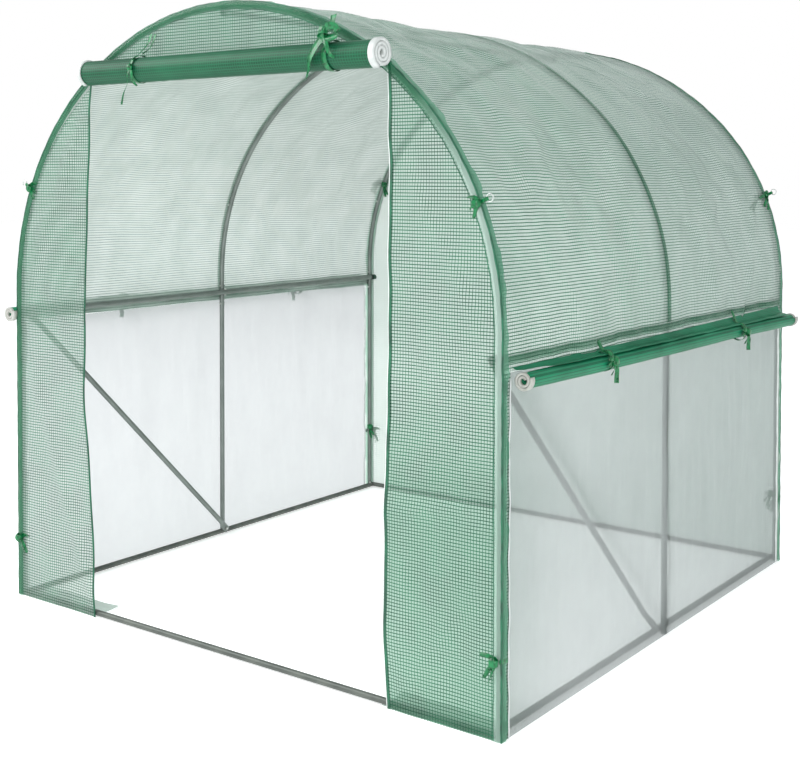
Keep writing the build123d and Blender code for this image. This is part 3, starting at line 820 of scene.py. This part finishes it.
# width and thickness of the bindings at the door, the seams behind them and the
# bindings of the strips that are folded back, which lie off the hoop line
binding = {"door": (0.0036, 0.0026), "leftSeam": (0.0060, 0.0022), "rightSeam": (0.0115, 0.0022),
    "strip": (0.0075, 0.0022), "off": 0.0118}
bindings, edgeSeams = [], []
for side, way in sideWay.items():
    z = np.linspace(0.0, 1.79, 90)
    edge = panelPoint(side, np.full_like(z, panelRest), z)
    if way > 0:
        bindings.append(bindingGrid(edge, (way, 0, 0), (0, -1, 0), *binding["door"]))
    edgeSeams.append(bindingGrid(edge + np.array([way * 0.0005, 0, 0]), (way, 0, 0), (0, -1, 0),
        *binding[side + "Seam"]))
    z = np.linspace(0.0, 0.945, 70)
    for face in (-1.0, 1.0):
        y = middle + face * (filmReach - wall["returnWidth"] - stripWaver(z))
        edge = np.stack([np.full_like(z, way * (halfSpan + binding["off"])), y, z], -1)
        bindings.append(bindingGrid(edge, (0, face, 0), (way, 0, 0), *binding["strip"]))
whiteBinding = meshFromGrids("white_bindings", bindings, whiteTape)
edgeSeam = meshFromGrids("panel_edge_seams", edgeSeams, seamTape)

# flaps on the ground: a ripple of two sines, and the inner far corner curls up
skirt = {"across": (0.606, 0.975), "back": (0.002, 0.112), "lift": 0.0016, "ripple": 0.0010,
    "curl": 0.004}
skirts = []
for side, way in sideWay.items():
    x = way * rowOf(*skirt["across"], 30)
    y = middle - filmReach + columnOf(*skirt["back"], 12)
    ripple = skirt["lift"] + skirt["ripple"] * np.sin(x * 37.0 + 1.0) * np.sin(y * 60.0)
    far = np.clip((y - middle + 0.93) / 0.04, 0, 1)
    curl = skirt["curl"] * far * np.exp(-((np.abs(x) - 0.61) / 0.06) ** 2)
    skirts.append(gridOf(x, y, ripple + curl))
skirtSheet = meshFromGrids("ground_skirts", skirts, skirtFilm, flips=[False, True])
print("hems done")

# Side nets.

nets = {
    "out": 0.0106, "top": 0.9650, "reach": 0.9636,
    "waves": (0.40, 0.21, 0.10, 0.055), "size": 0.020, "stretch": (1.7, 0.35),
}
for side, way in sideWay.items():
    t = rowOf(-nets["reach"], nets["reach"], 181)
    z = columnOf(0.0, nets["top"], 61)
    hang = np.sin(np.pi * np.clip(z / nets["top"], 0, 1)) ** 0.5
    pinned = np.clip((nets["reach"] - np.abs(t)) / 0.05, 0, 1)
    folds = softFolds(t, z, foldSeeds[side + "Net"], nets["waves"], nets["size"],
        nets["stretch"]) * hang * pinned
    x = way * (halfSpan + nets["out"] + folds * np.where(folds > 0, 1.0, 0.6))
    grid = gridOf(x, middle + t, z)
    net = meshFromGrids(side + "_net_sheet", [grid], netCloth, flips=[way < 0])
    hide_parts(side + "_side_net")
print("nets done")

# Rolled door and side curtains.


# Wound band, seen along its axis: radius grows evenly with the angle from the
# core to the outside, then the same line a layer further in runs back. Returns
# the closed line (n, 2) and the length along it.
def woundProfile(outer, pitch, turns, layer, steps, start):
    angle = np.linspace(0, 2 * np.pi * turns, steps * turns + 1)
    radius = outer - pitch * (turns - angle / (2 * np.pi))
    edges = []
    for r in (radius, radius - layer):
        edges.append(np.stack([r * np.cos(angle + start), r * np.sin(angle + start)], 1))
    loop = np.concatenate([edges[0], edges[1][::-1], edges[0][:1]])
    length = np.concatenate([[0], np.cumsum(np.linalg.norm(np.diff(loop, axis=0), axis=1))])
    return loop, length


# Roll: the wound line carried along an axis: place = line * swell + centre at
# each of the axial stations (k,), and toWorld turns that into x, y, z.
def rollGrid(profile, length, axial, swell, centre, toWorld):
    plane = profile[None] * swell[:, None, None] + centre[:, None]
    p = toWorld(axial[:, None] + 0 * plane[..., 0], plane[..., 0], plane[..., 1])
    uv = gridOf(length[None], axial[:, None])
    return p, uv


# Closed face of a wound band: quads between its outer and inner edge at one end.
def rollFace(profile, place, swell, centre, toWorld):
    count = (len(profile) - 1) // 2
    outerEdge, innerEdge = profile[:count], profile[count:2 * count][::-1]
    both = np.stack([outerEdge, innerEdge], 0) * swell + centre
    return toWorld(place + 0 * both[..., 0], both[..., 0], both[..., 1])


# Whole roll with its two spiral ends. rollSet holds its sizes: the turns swell by
# a sum of two sines along the axis, and the centre wavers and drops.
def makeRoll(name, rollSet, toWorld, material):
    profile, length = woundProfile(rollSet["radius"], rollSet["pitch"], rollSet["turns"],
        rollSet["layer"], 28, rollSet["start"])
    axial = np.linspace(rollSet["from"], rollSet["to"], rollSet["stations"])
    span = (axial - axial[0]) / (axial[-1] - axial[0])
    unevenness = np.sin(axial * 9.0 + rollSet["start"]) + 0.6 * np.sin(axial * 23.0 + 1.0)
    swell = 1 + rollSet["uneven"] * unevenness
    centre = np.stack([rollSet["waver"] * np.sin(axial * 5.0 + 0.7),
        rollSet["drop"] * (span - 0.5) + rollSet["waver"] * np.sin(axial * 4.0)], 1)
    body, uv = rollGrid(profile, length, axial, swell, centre, toWorld)
    grids, uvs = [body], [uv]
    for index in (0, -1):
        face = rollFace(profile, axial[index], swell[index], centre[index], toWorld)
        grids.append(face)
        uvs.append(np.zeros(face.shape[:2] + (2,)))
    made = meshFromGrids(name, grids, material, uvs=uvs)
    recalculate(made)
    return made


# Turns a closed mesh's faces outwards after its doubled points are merged.
def recalculate(piece, gap=0.00001):
    work = bmesh.new()
    work.from_mesh(piece.data)
    bmesh.ops.remove_doubles(work, verts=work.verts, dist=gap)
    bmesh.ops.recalc_face_normals(work, faces=work.faces)
    work.to_mesh(piece.data)
    work.free()
    piece.data.update()


door = {"radius": 0.0415, "pitch": 0.0062, "turns": 5, "layer": 0.0056, "start": -0.6, "from": -0.556,
    "to": 0.630, "stations": 90, "uneven": 0.006, "waver": 0.0007, "drop": 0.0}
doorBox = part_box("door_roll")
doorY = (doorBox[0].y + doorBox[1].y) / 2
doorZ = (doorBox[0].z + doorBox[1].z) / 2 - 0.0005


# The function that turns a roll's own place (along, across, up) into x, y, z:
# its axis runs along x or y through the given place.
def placerAt(across, up, axis):
    def place(a, p, q):
        return np.stack((a, across + p, up + q) if axis == "x" else (across + p, a, up + q), -1)
    return place


doorWorld = placerAt(doorY, doorZ, "x")
doorRoll = makeRoll("door_roll_film", door, doorWorld, rolledDoorFilm)
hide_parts("door_roll")
doorEnd = dict(door, radius=0.0465, pitch=0.0112, turns=3, layer=0.0094, start=-1.9, stations=5,
    uneven=0.0, waver=0.0)
for start, stop in ((-0.5655, -0.5545), (0.627, 0.6465)):
    doorEnd.update({"from": start, "to": stop})
    makeRoll("door_roll_end_" + ("left" if start < 0 else "right"), doorEnd, doorWorld,
        doorTape)

curtain = {"radius": 0.0248, "pitch": 0.0043, "turns": 4, "layer": 0.0039, "start": 0.4,
    "stations": 80, "uneven": 0.018, "waver": 0.0016}
rollRaise = {"left": 0.006, "right": -0.002}
for side, way in sideWay.items():
    low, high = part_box(side + "_curtain_roll")
    rollX, rollZ = (low.x + high.x) / 2, (low.z + high.z) / 2 + rollRaise[side]
    body = makeRoll(side + "_curtain_film", dict(curtain,
        **{"from": low.y + 0.008, "to": high.y - 0.008, "drop": -0.012}), placerAt(rollX, rollZ, "y"),
        rolledSideFilm)
    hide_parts(side + "_curtain_roll")
    for tag, start, stop, shift in (("front", low.y, low.y + 0.016, 0.006),
            ("rear", high.y - 0.016, high.y, -0.006)):
        end = makeRoll(side + "_curtain_end_" + tag, dict(curtain, radius=0.0290, pitch=0.0086,
            turns=2, layer=0.0070, stations=4, uneven=0.0, waver=0.0, drop=0.0,
            **{"from": start, "to": stop}), placerAt(rollX, rollZ + shift, "y"), rollTape)
    # foot of the roof film: from the rail out over the roll's top, as a section
    # carried along y with soft waves that grow outwards
    section = smoothPath([(way * (halfSpan + 0.0138), 0.977, 0), (way * (halfSpan + 0.0160), 0.971, 0),
        (rollX - way * 0.010, rollZ + 0.0272, 0), (rollX + way * 0.008, rollZ + 0.0272, 0),
        (rollX + way * 0.0200, rollZ + 0.0190, 0)], 6)
    share = rowOf(0, 1, len(section))
    t = columnOf(-0.955, 0.955, 161)
    place = share * (0.88 - 0.45 * np.exp(-(t + 0.955) / 0.11))
    wave = 0.0013 * share * (np.sin(t * 19.0) + 0.7 * np.sin(t * 43.0 + 1.0))
    x = np.interp(place, share[0], section[:, 0]) + way * (wave + 0.001)
    rise = 0.010 * np.clip(t, 0, 1) * (1 - share) ** 2
    z = np.interp(place, share[0], section[:, 1]) - 0.006 * t * share + wave + rise
    y = middle + t + 0 * share
    uv = gridOf(share * 0.075, t)
    foot = meshFromGrids(side + "_roof_foot", [np.stack([x, y, z], -1)], rolledSideFilm, uvs=[uv],
        flips=[way < 0])
print("rolls done")

# Ties, tapes and rings.


# Flat ribbon along a path: its width runs along the sideways direction, which
# turns evenly by twist from one end to the other.
def ribbonStrip(path, sideways, width, twist=0.0, thickness=0.0008):
    path = np.asarray(path, float)
    along = np.gradient(path, axis=0)
    along /= np.linalg.norm(along, axis=1, keepdims=True)
    sideways = np.broadcast_to(np.asarray(sideways, float), path.shape)
    flat = sideways - along * (sideways * along).sum(1, keepdims=True)
    flat /= np.linalg.norm(flat, axis=1, keepdims=True)
    up = np.cross(along, flat)
    turn = columnOf(0, twist, len(path))
    wide = flat * np.cos(turn) + up * np.sin(turn)
    thin = np.cross(along, wide)
    size = np.broadcast_to(np.asarray(width, float), (len(path),))[:, None] / 2
    corners = [wide * size + thin * thickness / 2, thin * thickness,
        -wide * size + thin * thickness / 2, -wide * size - thin * thickness / 2,
        -thin * 0.2 * thickness, wide * size - thin * thickness / 2]
    return np.stack([path + c for c in corners + corners[:1]], 1)


# Loop of a strap round a roll: a circle whose radius and place along the roll
# waver by a sine, each with a random phase.
def strapLoop(centre, axis, radius, width, seed):
    rng = np.random.default_rng(seed)
    turn = np.linspace(0, 2 * np.pi, 49)
    reach = radius + 0.0006 * np.sin(3 * turn + rng.uniform(0, 6))
    along = 0.003 * np.sin(turn + rng.uniform(0, 6))
    across = reach * np.cos(turn)
    parts = (along, across) if axis == "x" else (across, along)
    path = np.asarray(centre) + np.stack([*parts, reach * np.sin(turn)], 1)
    return ribbonStrip(path, (1, 0, 0) if axis == "x" else (0, 1, 0),
        width * (1 + 0.12 * np.sin(2 * turn)))


# Ribbon along a smooth line through a few points, narrower by taper at its end.
def tieGrids(pathPoints, sideways, width, twist=0.0, taper=0.0):
    path = smoothPath(pathPoints)
    share = np.linspace(0, 1, len(path))
    return ribbonStrip(path, sideways, width * (1 - taper * share), twist)


# Knot: two short loops that cross, each tilted by a random angle.
def knotGrids(centre, out, size, seed):
    rng = np.random.default_rng(seed)
    out = np.asarray(out, float)
    side = np.cross(out, (0, 0, 1))
    side /= np.linalg.norm(side)
    turn = columnOf(0, 2 * np.pi, 25)
    grids = []
    for k in range(2):
        tilt = rng.uniform(-0.6, 0.6) + k * 1.2
        a = side * math.cos(tilt) + np.array([0, 0, 1.0]) * math.sin(tilt)
        forwards = out * size * 0.32 * (1 + np.cos(turn))
        path = np.asarray(centre) + forwards + a * size * 0.55 * np.sin(turn)
        grids.append(ribbonStrip(path, np.cross(out, a), size * 0.75))
    return grids


ties = []
for x, width in ((-0.311, 0.013), (0.475, 0.017)):
    ties.append(strapLoop((x, doorY, doorZ), "x", door["radius"] + 0.0015, width, 3))
ties += knotGrids((-0.312, doorY - 0.0415, 1.815), (0, -1, 0), 0.018, 5)
ties += knotGrids((0.470, doorY - 0.034, 1.866), (0, -0.8, 0.6), 0.030, 8)
# straps and tails: points as x, distance behind the roll's axis and z, then the
# ribbon's sideways direction, width, twist and taper
doorStraps = (
    # left tie: two thin straps from the arch seam down over the roll, and two tails
    (((-0.306, 0.040, 1.925), (-0.314, 0.030, 1.892), (-0.318, -0.004, 1.858),
        (-0.314, -0.034, 1.840)), (1, 0, 0), 0.011, 0.5, 0.0),
    (((-0.288, 0.040, 1.922), (-0.290, 0.020, 1.880), (-0.296, -0.006, 1.858)), (1, 0, 0), 0.010, 0.8,
        0.0),
    (((-0.312, -0.046, 1.812), (-0.322, -0.048, 1.790), (-0.330, -0.040, 1.765),
        (-0.352, -0.036, 1.735), (-0.362, -0.036, 1.700)), (1, 0, 0), 0.010, 1.6, 0.3),
    (((-0.310, -0.046, 1.812), (-0.300, -0.049, 1.790), (-0.303, -0.042, 1.770),
        (-0.290, -0.036, 1.756)), (1, 0, 0), 0.010, -1.2, 0.4),
    # right tie: a wide glossy strap, a bow and two tails
    (((0.446, 0.034, 1.930), (0.452, 0.020, 1.905), (0.462, -0.006, 1.880), (0.466, -0.030, 1.864)),
        (1, 0, 0), 0.020, 0.6, 0.0),
    (((0.470, -0.036, 1.868), (0.492, -0.052, 1.886), (0.520, -0.050, 1.884), (0.522, -0.046, 1.862),
        (0.492, -0.046, 1.856), (0.470, -0.040, 1.864)), (0, 0, 1), 0.020, 0.6, 0.0),
    (((0.466, -0.042, 1.858), (0.446, -0.052, 1.828), (0.430, -0.053, 1.800), (0.420, -0.046, 1.772),
        (0.406, -0.040, 1.748)), (1, 0, 0), 0.027, 0.9, 0.1),
    (((0.474, -0.044, 1.860), (0.490, -0.052, 1.836), (0.498, -0.048, 1.812), (0.512, -0.044, 1.800)),
        (1, 0, 0), 0.015, -0.9, 0.5),
)
for points, sideways, width, twist, taper in doorStraps:
    ties.append(tieGrids([(x, doorY + back, z) for x, back, z in points], sideways, width, twist,
        taper))
doorTies = meshFromGrids("door_tie_ribbons", ties, greenTape)
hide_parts("door_ties")

# bow and two tails: points as distances out of the roll's face, along it and up,
# then the ribbon's sideways direction, width, twist and taper
curtainTails = (
    (((0.003, 0.0, 0.0), (0.010, -0.020, 0.014), (0.008, -0.036, 0.008), (0.004, -0.026, -0.006),
        (0.003, 0.0, 0.0)), (0, 0, 1), 0.016, 0.5, 0.0),
    (((0.003, 0.0, 0.0), (0.007, 0.008, -0.020), (0.003, 0.014, -0.045), (0.004, 0.012, -0.062)),
        (0, 1, 0), 0.017, 0.9, 0.2),
    (((0.003, 0.0, 0.0), (0.009, -0.010, -0.016), (0.004, -0.020, -0.036)), (0, 1, 0), 0.016, -0.7,
        0.3),
)
# places behind the middle hoop, distance of the roll's face, fall of the roll
curtainTie = {"places": (-0.489, 0.511), "face": 0.028, "slope": 0.006, "radius": 0.0288,
    "width": 0.019}
ties = []
for side, way in sideWay.items():
    low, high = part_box(side + "_curtain_roll")
    rollX, rollZ = (low.x + high.x) / 2, (low.z + high.z) / 2 + rollRaise[side]
    for index, back in enumerate(curtainTie["places"]):
        y = middle + back
        face = rollX + way * curtainTie["face"]
        slope = curtainTie["slope"] * (1 if back < 0 else -1)
        centreZ = rollZ + slope
        ties.append(strapLoop((rollX, y, centreZ), "y", curtainTie["radius"],
            curtainTie["width"], 20 + index))
        top = tunnel["railHeight"] + 0.002
        ties.append(tieGrids([(way * (halfSpan + 0.014), y, top + 0.004),
            (rollX - way * 0.008, y, centreZ + 0.0335), (rollX + way * 0.014, y, centreZ + 0.0300),
            (face, y, centreZ + 0.008)], (0, 1, 0), curtainTie["width"], 0.2))
        ties += knotGrids((face - way * 0.001, y, centreZ + 0.002), (way, 0, 0), 0.025, 30 + index)
        for points, sideways, width, twist, taper in curtainTails:
            placed = [(face + way * out, y + along, centreZ + up) for out, along, up in points]
            ties.append(tieGrids(placed, sideways, width, twist, taper))
curtainTies = meshFromGrids("curtain_tie_ribbons", ties, greenTape)
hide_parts("curtain_ties")


# Path just off the film on an end: y is read from the film's own surface.
def onFilm(points, face, side):
    placed = []
    for x, lift, z in points:
        film = panelPoint(side, abs(x), z) if face < 0 else endPoint(x, z, face, foldSeeds["rear"])
        placed.append((x, float(film[..., 1]) + face * lift, z))
    return placed


# Point on the arch at a length s and a distance off the hoop line, at a y.
def archAt(s, off, y):
    x, z = archPoint(s, off)
    return np.array([float(x), y, float(z)])


# Circle round a centre in the plane of two directions: radius times
# (cos turn * first + sin turn * second).
def circlePath(centre, radius, first, second, count):
    turn = columnOf(0, 2 * np.pi, count)
    return centre + radius * (np.cos(turn) * first + np.sin(turn) * second)


# Leaf-shaped tail from a knot: it reaches over and falls, just off the film.
def leafTape(knot, x, z, reach, fall, tilt, lift, width, face, side):
    way = sideWay[side]
    leaf = onFilm([(x - way * reach / 2, lift, z - fall / 2 + 0.006),
        (x - way * reach, 0.005, z - fall)], face, side)
    return tieGrids([knot] + leaf, (0, 0, 1), width, tilt, 0.4)


# rings on tapes that stand out of the arch seams, and tapes round the legs' feet;
# the tails are given by reach and fall, and the first six by twist too
cornerTapes = {
    "heights": {(-1.0, -1.0): (1.430, 0.206), (-1.0, 1.0): (1.404, 0.214), (1.0, 1.0): (1.400, 0.240),
        (1.0, -1.0): (1.440, 0.266)},
    "ringRadius": 0.0105, "wire": 0.0014, "ringOut": 0.034, "wrap": 0.0026,
    "ringTails": ((0.034, 0.020, 0.6), (0.022, 0.042, -0.8), (0.040, -0.012, 1.0)),
    "footTails": ((0.052, -0.010, 0.5), (0.040, 0.050, -0.7), (0.026, 0.062, 0.9)),
    "roofPlace": 0.984, "roofTails": ((0.052, 0.046), (0.064, 0.012), (0.020, 0.060)),
    "tubeLoop": 0.0104, "innerTails": ((0.016, 0.050), (0.030, 0.034)),
}
backwards = np.array([0, 1.0, 0])
tapes, rings = [], []
for face in (-1.0, 1.0):
    for side, way in sideWay.items():
        ringHeight, height = cornerTapes["heights"][(face, way)]
        lean = math.degrees(math.asin((ringHeight - shoulderHeight) / shoulderRadius))
        s = way * (crownArc + shoulderArc * (1 - lean / 45.0))
        y = middle + face * (filmReach + 0.0026)
        steps = np.linspace(-0.012, 0.030, 9)
        x, z = archPoint(np.full_like(steps, s), tunnel["filmOff"] + steps)
        path = np.stack([x, y + 0.0008 * np.sin(steps * 200), z], 1)
        knot = archAt(s, tunnel["filmOff"] + 0.004, y + face * 0.003)
        for reach, fall, tilt in cornerTapes["ringTails"]:
            tapes.append(leafTape(knot, knot[0], knot[2], reach, fall, tilt, 0.007, 0.014, face, side))
        tapes += knotGrids(knot - np.array([way * 0.010, 0, 0.004]), (way * 0.2, face, 0.1), 0.022,
            int(60 + 2 * face + way))
        direction = np.array([way * math.cos(math.radians(lean)), 0, math.sin(math.radians(lean))])
        tangent = np.cross(direction, (0, 1, 0))
        tapes.append(ribbonStrip(path, tangent, 0.013 - 0.003 * np.linspace(0, 1, 9)))
        centre = archAt(s, tunnel["filmOff"] + cornerTapes["ringOut"], y)
        rings.append(tubeGrid(circlePath(centre, cornerTapes["ringRadius"], direction, tangent, 33),
            cornerTapes["wire"], 10))
        wrap = circlePath(centre - direction * 0.0095, cornerTapes["wrap"], direction, backwards, 17)
        tapes.append(ribbonStrip(wrap, tangent, 0.010))
        # knots on the roof behind the rear ring, and loops round the rear tube inside
        if face > 0:
            place = cornerTapes["roofPlace"]
            seam = roofPoint(s, place, 0.007)
            tapes += knotGrids(seam, tuple(direction), 0.022, int(80 + way))
            for gone, down in cornerTapes["roofTails"]:
                half = roofPoint(s + way * down / 2, place - gone / 2, 0.014)
                end = roofPoint(s + way * down, place - gone, 0.006)
                tapes.append(tieGrids([seam, half, end], (0, 0, 1), 0.015, 0.7, 0.3))
            backY = middle + tunnel["bay"]
            foot = np.array([way * halfSpan, backY, height + 0.02])
            for tube, first, along in (
                (archAt(s, 0.0, backY), direction, tangent),
                (foot, np.array([way, 0, 0]), np.array([0, 0, 1.0])),
            ):
                tapes.append(ribbonStrip(circlePath(tube, cornerTapes["tubeLoop"], first, backwards, 17),
                    along, 0.015))
                inner = tube - 0.011 * first - np.array([0, 0.009, 0])
                tapes += knotGrids(inner, tuple(-0.5 * first - np.array([0, 0.8, 0])), 0.022,
                    int(90 + way))
                for reach, fall in cornerTapes["innerTails"]:
                    half = inner - first * reach / 2 - np.array([0, 0.012, fall / 2])
                    end = inner - first * reach - np.array([0, 0.010, fall])
                    tapes.append(tieGrids([inner, half, end], (0, 1, 0), 0.014, 0.8, 0.3))
        # tape tied round the leg's foot, with short leaf-shaped tails
        outX = way * (halfSpan + 0.0135)
        outY = middle + face * (filmReach + 0.0022)
        strap = [(outX - way * 0.030, outY, height + 0.003), (outX - way * 0.010, outY, height),
            (outX - way * 0.0012, outY - face * 0.0012, height), (outX, outY - face * 0.010, height),
            (outX, outY - face * 0.030, height - 0.003)]
        tapes.append(tieGrids(strap, (0, 0, 1), 0.013))
        tapes += knotGrids((outX - way * 0.018, outY + face * 0.004, height), (0, face, 0), 0.024,
            int(70 + 2 * face + way))
        knot = (outX - way * 0.016, outY + face * 0.003, height)
        for reach, fall, tilt in cornerTapes["footTails"]:
            tapes.append(leafTape(knot, outX - way * 0.012, height, reach, fall, tilt, 0.008, 0.015,
                face, side))
tapePiece = meshFromGrids("sewn_tapes", tapes, greenTape)
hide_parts("leg_tapes")
ringPiece = meshFromGrids("guy_ring_wires", rings, ringWire)
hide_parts("guy_rings")
print("ties done")

# Bolts and caps on the steel.


# Hexagon bolt through a tube: profile radii and heights turned in six or twelve
# sides about the bolt's axis, with a round washer under a six-sided head.
def boltGrids(centre, axis, grip, size=0.006, ways=(1.0, -1.0)):
    centre, axis = np.asarray(centre, float), np.asarray(axis, float)
    axis /= np.linalg.norm(axis)
    guide = np.array([0, 0, 1.0]) if abs(axis[2]) < 0.9 else np.array([1.0, 0, 0])
    a = np.cross(axis, guide)
    a /= np.linalg.norm(a)
    b = np.cross(axis, a)
    grids = []
    for way in ways:
        for sides, radii, heights in (
            (12, (0.0, size * 0.95, size * 0.95, size * 0.4), (0.0002, 0.0002, 0.0012, 0.0012)),
            (6, (size * 0.78, size * 0.78, size * 0.66, 0.0), (0.0012, 0.0046, 0.0052, 0.0053)),
        ):
            turn = np.linspace(0, 2 * np.pi, sides + 1)
            ring = np.cos(turn)[None, :, None] * a + np.sin(turn)[None, :, None] * b
            level = centre + way * axis * (grip + np.asarray(heights))[:, None]
            grids.append(level[:, None] + np.asarray(radii)[:, None, None] * ring)
    return grids


# grip is the distance from the tube's middle to the washer
bolt = {"grip": 0.0096, "sleeve": (0.950, 1.022), "bendTurn": 19.5, "side": 0.9712, "foot": 0.0118,
    "brace": 0.9597}
bolts = []
for row in (-1, 0, 1):
    y = middle + row * tunnel["bay"]
    inward = {-1: (1.0,), 0: (1.0, -1.0), 1: (-1.0,)}[row]
    for way in sideWay.values():
        for height in bolt["sleeve"]:
            bolts += boltGrids((way * halfSpan, y, height), (0, 1, 0), bolt["grip"], 0.005, inward)
        x, z = archPoint(way * (crownArc + shoulderArc * (1 - bolt["bendTurn"] / 45.0)), 0.0)
        bolts += boltGrids((x, y, z), (0, 1, 0), bolt["grip"], 0.005, inward)
        bolts += boltGrids((way * bolt["side"], y, tunnel["railHeight"]), (0, 0, 1), bolt["grip"],
            0.0055)
        bolts += boltGrids((way * bolt["side"], y - 0.02 * row, bolt["foot"]), (0, 0, 1), 0.0090,
            0.0045, (1.0,))
    bolts += boltGrids((0.0, y, crownTop - 0.0193), (1, 0, 0), bolt["grip"], 0.0055)
for way in sideWay.values():
    bolts += boltGrids((way * bolt["brace"], middle - tunnel["bay"] + 0.0085, 0.9892), (1, 0, 0),
        0.0022, 0.006)
    bolts += boltGrids((way * bolt["brace"], middle - 0.0085, 0.0205), (1, 0, 0), 0.0022, 0.006)
boltPiece = meshFromGrids("bolts", bolts, zincBolt, smooth=False)
recalculate(boltPiece)

# plug on a tube's open end: radii at stations back from the end
cap = {
    "places": ((-0.9680, 0.998), (0.9680, 0.998), (0.0, 1.9700)), "end": 1.0,
    "stations": np.array([0.0, 0.0, -0.0006, -0.003, -0.022, -0.022]),
    "radii": np.array([0.0, 0.0098, 0.0118, 0.0124, 0.0124, 0.0112]),
}
turn = np.linspace(0, 2 * np.pi, 25)
ring = np.stack([np.cos(turn), 0 * turn, np.sin(turn)], 1)
caps = []
for x, z in cap["places"]:
    for face in (-1.0, 1.0):
        back = cap["stations"][:, None] * np.array([0, face, 0])
        axis = np.array([x, middle + face * cap["end"], z]) + back
        caps.append(axis[:, None] + cap["radii"][:, None, None] * ring)
capPiece = meshFromGrids("tube_caps", caps, capPlastic)
recalculate(capPiece)
print("bolts done")
